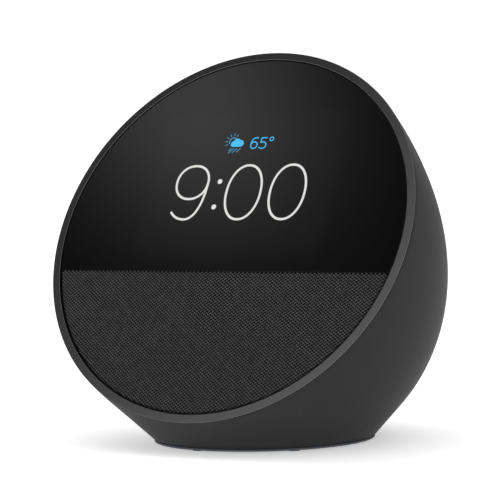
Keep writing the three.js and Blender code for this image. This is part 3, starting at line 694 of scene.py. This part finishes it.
weave = {
    "angle": 36.5,  # of both sets of yarns to the split line
    "pitch": 0.78,
    "yarnWidth": 0.45,
    "yarnHeight": 0.28,
    "wave": 0.2,
    "edgeRound": 0.75,
    "topRound": 0.15,
    "stepsPerCrossing": 3,
    "sides": 6,
    "backing": 0.1,
    "rimInset": 0.1,  # how far the yarns stay inside the cloth's round edge
    "splitInset": 0.02,
    "shortest": 1.2,
    "uneven": 0.06,
    "swell": 0.07,  # how much wider a yarn is where it stands proud
    "edgeCalm": 0.6,  # how much the wave dies away at the edge
    "edgeFall": 0.72,
}


# One set of parallel yarns at the given angle, each clipped by the cloth's outline and
# wrapped down over its edge.
def yarnSet(angle, parity):
    w = weave
    radius = panel["radius"] - w["rimInset"]
    top = panel["split"] - panel["splitGap"] / 2 - w["splitInset"]
    along = np.array([math.cos(angle), math.sin(angle)])
    across = np.array([-along[1], along[0]])
    half = w["yarnHeight"] / 2
    middle = -panel["recess"] - half - w["wave"]
    points, faces = [], []
    count = int(radius / w["pitch"]) + 1
    rng = np.random.default_rng(7 + parity)
    for k in range(-count, count):
        offset = (k + 0.5) * w["pitch"]
        if abs(offset) >= radius:
            continue
        reach = math.sqrt(radius ** 2 - offset ** 2)
        # the yarn's stretch below the split line
        limit = (top - across[1] * offset) / along[1]
        low, high = (-reach, min(reach, limit)) if along[1] > 0 else (max(-reach, limit), reach)
        if high - low < w["shortest"]:
            continue
        # crossings are at whole and a half of this count of the other set's yarns
        rate, base = along @ along[::-1] / w["pitch"], offset * (across @ along[::-1]) / w["pitch"]
        first, last = sorted((low * rate + base, high * rate + base))
        n = w["stepsPerCrossing"]
        counts = np.arange(math.ceil((first - 0.5) * n), math.floor((last - 0.5) * n) + 1) / n + 0.5
        places = np.unique(np.concatenate([[low], (counts - base) / rate, [high]]))
        flat = along[None] * places[:, None] + across[None] * offset
        wave = np.sin(math.pi * (flat @ along[::-1]) / w["pitch"])
        wave *= 1 if (k + parity) % 2 == 0 else -1
        drop = np.zeros(len(places))
        for inside, edge in ((radius - np.hypot(flat[:, 0], flat[:, 1]), w["edgeRound"]),
                             (top - flat[:, 1], w["topRound"])):
            inside = np.clip(inside, 0, edge)
            drop = np.maximum(drop, edge - np.sqrt(edge ** 2 - (edge - inside) ** 2))
        jitter = 1 + w["uneven"] * rng.standard_normal()
        calm = 1 - w["edgeCalm"] * drop / w["edgeRound"]
        lift = middle + w["wave"] * wave * calm - w["edgeFall"] * drop
        widths = w["yarnWidth"] / 2 * (1 - w["swell"] + w["swell"] * wave) * jitter
        start = len(points)
        sides = w["sides"]
        for i in range(len(places)):
            for j in range(sides):
                a = 2 * math.pi * (j + 0.5) / sides
                sideways = across * widths[i] * math.cos(a)
                points.append((flat[i, 0] + sideways[0], flat[i, 1] + sideways[1],
                               lift[i] + half * math.sin(a)))
        rows = len(places)
        for i in range(rows - 1):
            for j in range(sides):
                n = (j + 1) % sides
                a, b = start + i * sides, start + (i + 1) * sides
                faces.append((a + j, b + j, b + n, a + n))
        faces.append(tuple(start + j for j in range(sides)))
        faces.append(tuple(start + (rows - 1) * sides + j for j in reversed(range(sides))))
    return points, faces


def buildCloth():
    front = -panel["recess"] - weave["yarnHeight"] - 2 * weave["wave"] + 0.02
    # the backing sheet is painted shade that shows through the gaps between the yarns
    part = softPlate(lambda inset: halfOutline(False, inset), front, front - weave["backing"],
                     weave["backing"] * 0.9)
    cloth = makePiece("grille_cloth_backing", *part, faceMatrix, slot="grille_cloth",
                      replaces=["grille_cloth"], material=backingPaintedShade)
    turn = math.radians(weave["angle"])
    for name, angle, parity in (("grille_cloth_warp", turn, 0), ("grille_cloth_weft", -turn, 1)):
        makePiece(name, *yarnSet(angle, parity), faceMatrix, slot="grille_cloth",
                               # each yarn set's material carries painted shade in the dips and painted highlights
                               # on the crossings
                               material=yarnMaterial(f"{name}_finish", angle), sharpAngle=75)


buildCloth()
stage("ring, glass and cloth ready")


# ---- the lit display ----

digits = {
    "level": -panel["recess"] + 0.012,
    "thickness": 0.02,
    "stroke": 0.69,
    "height": 16.7,  # between the middles of the top and bottom strokes
    "zeroWidth": 11.0,
    "low": 4.0,
    "zeroCentres": (1.75, 15.8),
    "nineCentre": -15.62,
    "nineBowl": (5.15, 5.17),
    "colon": (-6.7, (7.85, 15.75), 0.76),
}


def bezier(controls, steps):
    controls = [np.array(c, float) for c in controls]
    points = []
    for k in range(steps + 1):
        level = list(controls)
        t = k / steps
        while len(level) > 1:
            level = [a * (1 - t) + b * t for a, b in zip(level, level[1:])]
        points.append(level[0])
    return points


def oval(centre, rx, ry, fullness=2.1, steps=96, start=0.0, sweep=2 * math.pi):
    points = []
    closed = abs(sweep - 2 * math.pi) < 1e-6
    for i in range(steps if closed else steps + 1):
        a = start + sweep * i / steps
        c, s = math.cos(a), math.sin(a)
        points.append(np.array([
            centre[0] + rx * math.copysign(abs(c) ** (2 / fullness), c),
            centre[1] + ry * math.copysign(abs(s) ** (2 / fullness), s),
        ]))
    return points


# A flat stroke with round ends along a line, from level low to level high.
# lift gives the level of the surface it lies on.
def stroke(line, width, low, high, closed=False, lift=None):
    line = [np.array(p, float) for p in line]
    half = width / 2
    halves = [half] * len(line)
    if not closed:
        first, last = line[0], line[-1]
        startAway = (first - line[1]) / np.linalg.norm(first - line[1])
        endAway = (last - line[-2]) / np.linalg.norm(last - line[-2])
        angles = [math.radians(a) for a in (18, 36, 54, 72, 86)]
        line = [first + startAway * half * math.sin(a) for a in reversed(angles)] + line \
            + [last + endAway * half * math.sin(a) for a in angles]
        ends = [half * math.cos(a) for a in angles]
        halves = ends[::-1] + halves + ends
    count = len(line)
    points = []
    for i, point in enumerate(line):
        before = line[i - 1] if closed or i else line[0]
        after = line[(i + 1) % count] if closed or i < count - 1 else line[-1]
        way = (after - before) / np.linalg.norm(after - before)
        side = np.array([-way[1], way[0]]) * halves[i]
        for place in (point + side, point - side):
            base = lift(*place) if lift else 0.0
            points.append((place[0], place[1], base + high))
            points.append((place[0], place[1], base + low))
    faces = []
    for i in range(count if closed else count - 1):
        a, b = 4 * i, 4 * ((i + 1) % count)
        faces += [(a, a + 2, b + 2, b), (a + 3, a + 1, b + 1, b + 3),
                  (a + 1, a, b, b + 1), (a + 2, a + 3, b + 3, b + 2)]
    if not closed:
        e = 4 * (count - 1)
        faces += [(0, 1, 3, 2), (e + 1, e, e + 2, e + 3)]
    return points, outward(points, faces)


def filled(outline, low, high):
    count = len(outline)
    points = [(x, y, low) for x, y in outline] + [(x, y, high) for x, y in outline]
    faces = [tuple(range(count)), tuple(range(2 * count - 1, count - 1, -1))]
    faces += [(i, count + i, count + (i + 1) % count, (i + 1) % count) for i in range(count)]
    return points, outward(points, faces)


def buildDigits():
    d = digits
    low, high = d["level"], d["level"] + d["thickness"]
    middle, top = d["low"] + d["height"] / 2, d["low"] + d["height"]
    parts = []
    for centre in d["zeroCentres"]:
        line = oval((centre, middle), d["zeroWidth"] / 2, d["height"] / 2, 2.12)
        parts.append(stroke(line, d["stroke"], low, high, closed=True))
    rx, ry = d["nineBowl"]
    x, y = d["nineCentre"], top - ry
    parts.append(stroke(oval((x, y), rx, ry, 2.12), d["stroke"], low, high, closed=True))
    tail = bezier([(x + rx, y), (x + rx, y - 6.2), (x + 3.6, d["low"]), (x - 0.1, d["low"])], 26)
    tail += bezier([(x - 0.1, d["low"]), (x - 1.9, d["low"]), (x - 3.5, d["low"] + 0.8),
                    (x - 4.6, d["low"] + 2.15)], 12)[1:]
    parts.append(stroke(tail, d["stroke"], low, high))
    x, levels, radius = d["colon"]
    for y in levels:
        parts.append(filled(oval((x, y), radius, radius, 2, 32), low, high))
    makePiece("clock_digits", *combined(parts), faceMatrix, slot="display_glass",
              material=displayLight("digit_light", (0.75, 0.745, 0.73), 1.0), sharpAngle=None)


weather = {
    "stroke": 0.33,
    "fine": 0.24,
    "cloud": [((-5.25, 27.5), 0.9), ((-4.25, 27.95), 1.25), ((-3.1, 27.65), 1.08)],
    "cloudFloor": 26.62,
    "sun": ((-5.55, 28.25), 1.22),
    "rays": (1.9, 2.45, 6, 62, 208),  # from, to, how many, first and last angle
    "rain": [(-6.2, 0.95), (-5.35, 2.05), (-4.28, 1.7), (-3.15, 1.5)],
    "blue": (0.045, 0.51, 0.92),
    "dimBlue": (0.055, 0.30, 0.50),
}


# The outline of several discs together, seen from a point inside all their union.
def cloudOutline(discs, floorLevel, steps=96):
    centre = np.array([(discs[0][0][0] + discs[-1][0][0]) / 2, floorLevel + 0.75])
    outline = []
    for i in range(steps):
        angle = 2 * math.pi * i / steps
        way = np.array([math.cos(angle), math.sin(angle)])
        reach = 0.0
        for place, radius in discs:
            away = np.array(place) - centre
            b = float(way @ away)
            inside = b * b - float(away @ away) + radius * radius
            if inside > 0:
                reach = max(reach, b + math.sqrt(inside))
        if way[1] < 0:
            toFloor = (floorLevel - centre[1]) / way[1]
            overFlat = discs[0][0][0] <= centre[0] + way[0] * toFloor <= discs[-1][0][0]
            reach = toFloor if overFlat else min(reach, toFloor)
        outline.append(centre + way * reach)
    return outline


def buildWeather():
    w = weather
    low, high = digits["level"], digits["level"] + digits["thickness"]
    bright, dim = [], []
    bright.append(filled(cloudOutline(w["cloud"], w["cloudFloor"]), low, high))
    six = bezier([(2.45, 29.27), (1.3, 29.7), (0.38, 28.75), (0.45, 27.1)], 14)
    bright.append(stroke(six, w["stroke"], low, high))
    bright.append(stroke(oval((1.48, 27.03), 1.03, 1.02, 2), w["stroke"], low, high, closed=True))
    five = [(5.25, 29.3), (4.4, 29.3), (3.62, 29.3), (3.57, 28.6), (3.52, 27.85)]
    bright.append(stroke(five[:3], w["stroke"], low, high))
    bright.append(stroke(five[2:], w["stroke"], low, high))
    bowl = bezier([(3.52, 27.85), (5.3, 28.4), (5.8, 26.85), (5.0, 26.25)], 16)
    bowl += bezier([(5.0, 26.25), (4.5, 25.83), (3.75, 25.97), (3.3, 26.25)], 8)[1:]
    bright.append(stroke(bowl, w["stroke"], low, high))
    bright.append(stroke(oval((6.85, 28.88), 0.58, 0.58, 2, 40), 0.27, low, high, closed=True))
    centre, radius = w["sun"]
    arc = oval(centre, radius, radius, 2, 30, math.radians(62), math.radians(140))
    dim.append(stroke(arc, w["fine"] * 1.3, low - 0.006, high - 0.006))
    start, end, count, first, last = w["rays"]
    for i in range(count):
        angle = math.radians(first + (last - first) * i / (count - 1))
        way = np.array([math.cos(angle), math.sin(angle)])
        dim.append(stroke([np.array(centre) + way * start, np.array(centre) + way * end],
                          w["fine"], low, high))
    for x, length in w["rain"]:
        dim.append(stroke([(x + 0.45, 26.05), (x + 0.45 - 0.7 * length, 26.05 - 0.7 * length)],
                          w["fine"], low, high))
    makePiece("weather_symbol", *combined(bright), faceMatrix, slot="display_glass",
              material=displayLight("symbol_light", w["blue"], 1.0), sharpAngle=None)
    makePiece("weather_symbol_rays", *combined(dim), faceMatrix, slot="display_glass",
              material=displayLight("ray_light", w["dimBlue"], 1.0), sharpAngle=None)


buildDigits()
buildWeather()
stage("display ready")


# ---- housing ----

shell = {
    "radius": 56.5,
    "depth": 79.0,
    "fullness": 68.0,
    "backRound": 11.0,
    "wall": 2.0,
    "drop": 0.11,
    "dropEase": 0.03,
    "seam": 0.7,
    "seamRound": 0.2,
    "rebateRadius": 55.5,
    "rebateDepth": 4.1,
    "floor": 1.3,
    "rimInset": 0.25,  # base cover's rim inside the housing's lower edge
    "footWall": 3.2,  # the sloping wall's width at that edge
    "seatInset": 0.8,
    "seatHeight": 1.2,
    "rows": 84,
    "columns": 224,
}


def profile(inset, count):
    t = np.linspace(0, 1, count)[:, None]
    c = [np.array(p) for p in ((0, shell["radius"] - inset), (shell["fullness"], shell["radius"] - inset),
                               (shell["depth"] - inset, shell["backRound"]), (shell["depth"] - inset, 0))]
    return (1 - t) ** 3 * c[0] + 3 * (1 - t) ** 2 * t * c[1] + 3 * (1 - t) * t ** 2 * c[2] + t ** 3 * c[3]


def dropAt(depth):
    return -shell["drop"] * depth + shell["dropEase"] * depth * depth / shell["depth"]


faceToWorld = np.array(faceMatrix)
worldToFace = np.array(faceMatrix.inverted())
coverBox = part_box("base_cover")
footY = (coverBox[0].y + coverBox[1].y) / 2 / mm
footHalf = [(coverBox[1][i] - coverBox[0][i]) / 2 / mm + shell["rimInset"] for i in range(2)]


# The skin, or the inner wall: a lofted form whose lower part runs straight down to the
# oval foot. Each straight line touches the form where it leaves the foot at its widest.
class Skin:
    def __init__(self, inset, footInset):
        self.deepest = shell["depth"] - inset
        self.curve = profile(inset, 4001)
        self.angles = np.linspace(-math.pi, math.pi, 361)
        ways = np.stack([np.cos(self.angles), np.sin(self.angles)], 1)
        self.foot = 1 / np.hypot(ways[:, 0] / (footHalf[0] - footInset),
                                 ways[:, 1] / (footHalf[1] - footInset))
        self.slope = np.full(len(self.angles), -9.0)
        self.touch = np.full(len(self.angles), shell["floor"])
        for level in np.arange(shell["floor"] + 1, 55, 0.5):
            low, high = np.zeros(len(ways)), np.full(len(ways), 90.0)
            for _ in range(22):
                middle = (low + high) / 2
                place = np.stack([ways[:, 0] * middle, footY + ways[:, 1] * middle,
                                  np.full(len(ways), level)], 1)
                inside = self.outsideForm(place) < 0
                low, high = np.where(inside, middle, low), np.where(inside, high, middle)
            slope = (low - self.foot) / (level - shell["floor"])
            steeper = slope > self.slope
            self.slope = np.where(steeper, slope, self.slope)
            self.touch = np.where(steeper, level, self.touch)
        smooth = np.ones(9) / 9
        for _ in range(2):
            wrapped = np.concatenate([self.touch[-5:-1], self.touch, self.touch[1:5]])
            self.touch = np.convolve(wrapped, smooth, "valid")

    def outsideForm(self, points):
        points = points @ worldToFace[:3, :3].T + worldToFace[:3, 3]
        depth = np.clip(-points[:, 2], 0, self.deepest)
        beyond = np.maximum(0, -points[:, 2] - self.deepest)
        radius = np.interp(depth, self.curve[:, 0], self.curve[:, 1])
        across = np.hypot(points[:, 0], points[:, 1] - dropAt(depth)) - radius + beyond
        return np.maximum(across, points[:, 2])

    # Distance from the foot's centre line, the straight part's distance, and where it ends.
    def straight(self, points):
        angle = np.arctan2(points[:, 1] - footY, points[:, 0])
        foot, slope, touch = (np.interp(angle, self.angles, values)
                              for values in (self.foot, self.slope, self.touch))
        away = np.hypot(points[:, 0], points[:, 1] - footY)
        return away, foot + slope * (points[:, 2] - shell["floor"]), touch

    def outside(self, points):
        points = np.asarray(points, float)
        away, line, touch = self.straight(points)
        return np.where(points[:, 2] < touch, away - line, self.outsideForm(points))

    # Moves the form's points out to the straight part; below the foot they ease back.
    def flared(self, points):
        points = np.array(points, float)
        away, line, touch = self.straight(points)
        below = np.clip((shell["floor"] - points[:, 2] - 2) / 3, 0, 1)
        moved = np.where(points[:, 2] < touch, line * (1 - below) + away * below, away)
        moved = np.where(points[:, 2] < shell["floor"], np.maximum(moved, away), moved)
        scale = moved / np.maximum(away, 1e-6)
        points[:, 0] *= scale
        points[:, 1] = footY + (points[:, 1] - footY) * scale
        return points


outerSkin, innerSkin = Skin(0, 0), Skin(shell["wall"], shell["footWall"])


def radiusAt(depth):
    return np.interp(depth, outerSkin.curve[:, 0], outerSkin.curve[:, 1])


# How far a ray from a world point goes before it leaves the skin.
def reachSkin(start, direction, far):
    start, direction = np.asarray(start, float), np.asarray(direction, float)
    low, high = 0.0, far
    for _ in range(40):
        middle = (low + high) / 2
        inside = outerSkin.outside((start + direction * middle)[None])[0] < 0
        low, high = (middle, high) if inside else (low, middle)
    return low


# The skin's outline at one level, moved in by inset.
def baseOutline(inset, level, columns=160):
    angles = np.arange(columns) * 2 * math.pi / columns
    outline = np.array([np.array([0, footY]) + np.array([math.cos(a), math.sin(a)]) * reachSkin(
        (0, footY, level), (math.cos(a), math.sin(a), 0), 60) for a in angles])
    along = np.roll(outline, -1, 0) - np.roll(outline, 1, 0)
    along /= np.linalg.norm(along, axis=1)[:, None]
    return outline - np.stack([along[:, 1], -along[:, 0]], 1) * inset


# The lofted wall in world axes: rows of the inner wall, the stepped rim, then the skin.
def housingPart():
    s = shell
    outer = profile(0, s["rows"])
    inner = profile(s["wall"], s["rows"] // 2)
    rows = [(d, r, dropAt(d)) for d, r in reversed(inner[:-1]) if d > s["rebateDepth"] + 0.4]
    rows.append((s["rebateDepth"], float(np.interp(s["rebateDepth"], inner[:, 0], inner[:, 1])),
                 dropAt(s["rebateDepth"])))
    innerCount = len(rows)
    rows.append((s["rebateDepth"], s["rebateRadius"], 0.0))
    rows.append((s["seam"] + 0.1, s["rebateRadius"], 0.0))
    rows.append((s["seam"], s["rebateRadius"] + 0.1, 0.0))
    rimCount = len(rows)
    edge = s["seamRound"]
    for angle in np.linspace(0, math.pi / 2, 5):
        depth = s["seam"] + edge * (1 - math.cos(angle))
        radius = float(radiusAt(depth)) - edge * (1 - math.sin(angle))
        rows.append((depth, radius, dropAt(depth)))
    rows += [(d, r, dropAt(d)) for d, r in outer[:-1] if d > s["seam"] + edge + 0.2]
    columns = s["columns"]
    angles = np.arange(columns) * 2 * math.pi / columns
    points = np.array([(r * math.cos(a), drop + r * math.sin(a), -d)
                       for d, r, drop in rows for a in angles])
    ends = np.array([(0, dropAt(d), -d) for d in (s["depth"] - s["wall"], s["depth"])])
    points = np.concatenate([points, ends]) @ faceToWorld[:3, :3].T + faceToWorld[:3, 3]
    inside, skin = innerCount * columns, rimCount * columns
    points[:inside] = innerSkin.flared(points[:inside])
    points[skin:] = outerSkin.flared(points[skin:])
    return poled(points[:-2], columns, points[-2], points[-1])


port = {
    "radius": 6.4,
    "wall": 1.1,
    "clearance": 0.3,
    "depth": 5.0,
    "floor": 1.2,
    "bore": 3.5,
    "lipRound": 0.4,
}
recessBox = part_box("power_port_recess")
portCentre = np.array([0, 0, (recessBox[0].z + recessBox[1].z) / 2 / mm])
portSkin = reachSkin(portCentre, (0, 1, 0), 90)
portMatrix = Matrix.Translation((0, portSkin, portCentre[2])) @ Matrix.Rotation(-math.pi / 2, 4, "X")

buttons = {
    "radius": 4.2,
    "clearance": 0.3,
    "pitch": 13.0,
    "standOut": 0.55,
    "dish": 0.18,
    "edgeRound": 0.35,
    "holeRound": 0.25,
    "cutBelow": 9,
    "cutAbove": 0.6,
    "skirt": 4.0,
    "micSpread": 20.5,
    "micBehind": 3.0,
    "micRadius": 0.7,
    "micRound": 0.12,
    "symbolWidth": 0.42,
    "symbolHeight": 0.05,
}
# The middle of the button row, on the skin: straight above the middle button's own box.
outAxis = -pressAxis
downAxis = outAxis.cross(Vector((1, 0, 0)))
upCentre = middleOf("volume_up_button")
rowCentre = upCentre + outAxis * reachSkin(upCentre, outAxis, 30)
buttonMatrix = Matrix.Translation(rowCentre) @ Matrix(
    (Vector((1, 0, 0)), downAxis, outAxis)).transposed().to_4x4()


# Level of the skin above the button row's own plane.
def skinLevel(x, y):
    start = buttonMatrix @ Vector((x, y, -12))
    return reachSkin(start, outAxis, 30) - 12


# A straight cutter whose upper end flares to leave a small chamfer along the skin.
def holeCutter(x, y, radius, flare, segments):
    bottom, rise = -buttons["cutBelow"], buttons["cutAbove"]
    points = [(px, py, bottom) for px, py in circle(radius, segments, x, y)]
    for r, level in ((radius, -flare), (radius + flare + rise, rise)):
        points += [(px, py, skinLevel(px, py) + level) for px, py in circle(r, segments, x, y)]
    return poled(points, segments, (x, y, bottom), (x, y, skinLevel(x, y) + 2 * rise))


# Smooth normals taken from the housing's own form, so cuts leave no shading marks.
def skinNormals(mesh):
    count = len(mesh.vertices)
    co = np.zeros(count * 3)
    mesh.vertices.foreach_get("co", co)
    co = co.reshape(-1, 3)
    here = outerSkin.outside(co)
    step = 0.02
    slope = np.zeros((count, 3))
    for axis in range(3):
        shift = np.zeros(3)
        shift[axis] = step
        slope[:, axis] = outerSkin.outside(co + shift) - outerSkin.outside(co - shift)
    slope /= np.maximum(np.linalg.norm(slope, axis=1), 1e-9)[:, None]
    normals = []
    seamDepth = shell["seam"] + shell["seamRound"] + 0.02
    depth = -(co @ worldToFace[2, :3] + worldToFace[2, 3])
    for polygon in mesh.polygons:
        ids = list(polygon.vertices)
        onSkin = np.all(np.abs(here[ids]) < 0.03) and np.all(depth[ids] > seamDepth)
        facing = float(np.dot(slope[ids].mean(0), polygon.normal))
        for i in ids:
            normals.append(tuple(slope[i]) if onSkin and facing > 0.8 else (0, 0, 0))
    mesh.polygons.foreach_set("use_smooth", [True] * len(mesh.polygons))
    mesh.set_sharp_from_angle(angle=math.radians(28))
    mesh.normals_split_custom_set(normals)


def buildHousing():
    b, p = buttons, port
    seat = filled(baseOutline(shell["seatInset"], shell["floor"]), -20,
                  shell["floor"] + shell["seatHeight"])
    cutters = [(boxPart((-80, -80, -20), (80, 80, shell["floor"])), None), (seat, None)]
    hole = p["radius"] + p["wall"] + p["clearance"]
    portCutter = domed([(0, -15), (hole, -15), (hole, 12), (0, 12)], 96)
    cutters.append((portCutter, portMatrix))
    holes = [holeCutter(x, 0, b["radius"] + b["clearance"], b["holeRound"], 72)
             for x in (-b["pitch"], 0, b["pitch"])]
    holes += [holeCutter(x, b["micBehind"], b["micRadius"], b["micRound"], 24)
              for x in (-b["micSpread"], b["micSpread"])]
    cutters.append((combined(holes), buttonMatrix))
    mesh = carved(housingPart(), None, cutters)
    skinNormals(mesh)
    mesh.transform(Matrix.Scale(mm, 4))
    addPiece("rear_housing_shell", mesh, "speaker_body", ["rear_housing"],
             housingFinish, sharpAngle=None)


buildHousing()
stage("housing ready")


# ---- buttons ----

# The cap's top follows the skin, stands a little proud and is very slightly dished.
def capLevel(x, y, centreX):
    b = buttons
    r = math.hypot(x - centreX, y) / b["radius"]
    edge = b["edgeRound"]
    inset = max(0.0, (1 - r) * b["radius"])
    fall = 0.0
    if inset < edge:
        fall = edge - math.sqrt(max(0.0, edge * edge - (edge - inset) ** 2))
    dish = b["dish"] * max(0.0, 1 - (r / 0.85) ** 2)
    return skinLevel(x, y) + b["standOut"] - fall - dish


def capPart(centreX, segments=72):
    b = buttons
    insets = [0.0] + [b["edgeRound"] * (1 - math.cos(a)) for a in np.linspace(0.25, math.pi / 2, 5)]
    radii = [b["radius"] - i for i in insets]
    radii += list(np.linspace(radii[-1], 0, 12))[1:-1]
    points = [(x, y, -b["skirt"]) for x, y in circle(b["radius"], segments, centreX)]
    for r in radii:
        points += [(x, y, capLevel(x, y, centreX)) for x, y in circle(r, segments, centreX)]
    return poled(points, segments, (centreX, 0, -b["skirt"]),
                 (centreX, 0, capLevel(centreX, 0, centreX)))


def buildButtons():
    b = buttons
    symbols = {
        "volume_down": [[(-1.3, 0), (0, 0), (1.3, 0)]],
        "volume_up": [[(-1.3, 0), (0, 0), (1.3, 0)], [(0, -1.3), (0, 0), (0, 1.3)]],
        "mic_off": [
            [(0, -1.5), (0, -0.9), (0, -0.2)],
            oval((0, -0.35), 1.0, 1.0, 2, 16, 0.0, math.pi),
            [(0, 0.65), (0, 1.0), (0, 1.45)],
            [(-1.5, -1.5), (0, 0), (1.5, 1.5)],
        ],
    }
    for i, name in enumerate(("volume_down", "volume_up", "mic_off")):
        x = (i - 1) * b["pitch"]
        body = f"{name}_key"
        makePiece(f"{name}_cap", *capPart(x), buttonMatrix, body=body, slot="button_plastic",
                  replaces=[f"{name}_button"], material=buttonFinish, sharpAngle=40)
        lines = []
        for line in symbols[name]:
            placed = [(x + px, py) for px, py in line]
            lines.append(stroke(placed, b["symbolWidth"], -0.05, b["symbolHeight"],
                                lift=lambda px, py, cx=x: capLevel(px, py, cx)))
        makePiece(f"{name}_symbol", *combined(lines), buttonMatrix, body=body,
                  slot="button_plastic", material=symbolFinish, sharpAngle=None)


buildButtons()
stage("buttons ready")


# ---- power inlet ----

def buildInlet():
    p = port
    outer, inner = p["radius"] + p["wall"], p["radius"]
    floorLevel = -p["depth"]
    bottom = floorLevel - p["floor"]
    segments = 96

    def rim(r):
        starts = [portMatrix @ Vector((x, y, -20)) for x, y in circle(r, segments)]
        return [reachSkin(start, (0, 1, 0), 40) - 20 for start in starts]

    outerRim, innerRim, middleRim = rim(outer), rim(inner), rim((outer + inner) / 2)
    flat = [0] * segments
    # radius, what the level is measured from, and the level
    rows = [
        (p["bore"], flat, bottom),
        (outer, flat, bottom),
        (outer, outerRim, -0.25),
        (outer - 0.12, outerRim, -0.04),
        ((outer + inner) / 2, middleRim, -0.02),
        (inner + p["lipRound"] * 0.7, innerRim, -0.06),
        (inner + p["lipRound"] * 0.25, innerRim, -0.2),
        (inner, innerRim, -0.5),
        (inner, flat, floorLevel + 0.3),
        (inner - 0.12, flat, floorLevel + 0.1),
        (inner - 0.35, flat, floorLevel),
        (p["bore"] + 0.15, flat, floorLevel),
        (p["bore"], flat, floorLevel - 0.15),
    ]
    points = [(x, y, start + level) for r, starts, level in rows
              for (x, y), start in zip(circle(r, segments), starts)]
    faces = outward(points, gridFaces(len(rows), segments, closeRows=True))
    makePiece("power_port_cup", points, faces, portMatrix, slot="black_plastic",
              replaces=["power_port_recess"], material=blackFinish, sharpAngle=35)


buildInlet()


# ---- base ----

base = {
    "rimInset": 0.25,
    "rimLow": 0.4,
    "rimThickness": 0.6,
    "stepInset": 1.1,
    "step": 1.2,
    "plug": 2.4,
    "plugInset": 3.9,
    "edgeRound": 0.2,
    "footRadius": 1.8,
    "footTop": 0.8,
    "screwHole": 1.8,
}


def buildBase():
    s = base
    outlines = {}

    def row(inset):
        if inset not in outlines:
            outlines[inset] = baseOutline(inset, shell["floor"] + 0.001)
        return outlines[inset]

    high = s["rimLow"] + s["rimThickness"]
    e = s["edgeRound"]
    rows = [(s["rimInset"] + e, s["rimLow"]), (s["rimInset"] + e * 0.3, s["rimLow"] + e * 0.3),
            (s["rimInset"], s["rimLow"] + e), (s["rimInset"], high - 0.1),
            (s["rimInset"] + 0.1, high), (s["stepInset"], high),
            (s["stepInset"], high + s["step"]), (s["plugInset"], high + s["step"]),
            (s["plugInset"], high + s["plug"])]
    points = []
    for inset, level in rows:
        points += [(x, y, level) for x, y in row(inset)]
    holes = []
    for i in range(3):
        middle = middleOf(f"base_screw_{i + 1}")
        holes.append(shifted(domed([(0, 0), (s["screwHole"], 0), (s["screwHole"], 1.8),
                                    (1.1, 1.8), (1.1, 6), (0, 6)], 32), (middle.x, middle.y, 0)))
    for i in range(6):
        middle = middleOf(f"foot_{i + 1}")
        holes.append(shifted(domed([(0, 0), (s["footRadius"] + 0.2, 0),
                                    (s["footRadius"] + 0.2, s["footTop"] + 0.2),
                                    (0, s["footTop"] + 0.2)], 40), (middle.x, middle.y, 0)))
        r, top = s["footRadius"], s["footTop"]
        pad = domed([(0, 0), (r - 0.4, 0), (r - 0.15, 0.04), (r - 0.03, 0.14), (r, 0.3),
                     (r, top - 0.05), (r - 0.05, top), (0, top)], 48)
        makePiece(f"foot_pad_{i + 1}", *shifted(pad, (middle.x, middle.y, 0)),
                  slot="base_rubber", replaces=[f"foot_{i + 1}"], material=rubberFinish)
    mesh = carved(capped(points, len(rows)), None, [(combined(holes), None)])
    mesh.transform(Matrix.Scale(mm, 4))
    addPiece("base_cover_plate", mesh, "speaker_body", ["base_cover"],
             rubberFinish, 30)


buildBase()
stage("base ready")
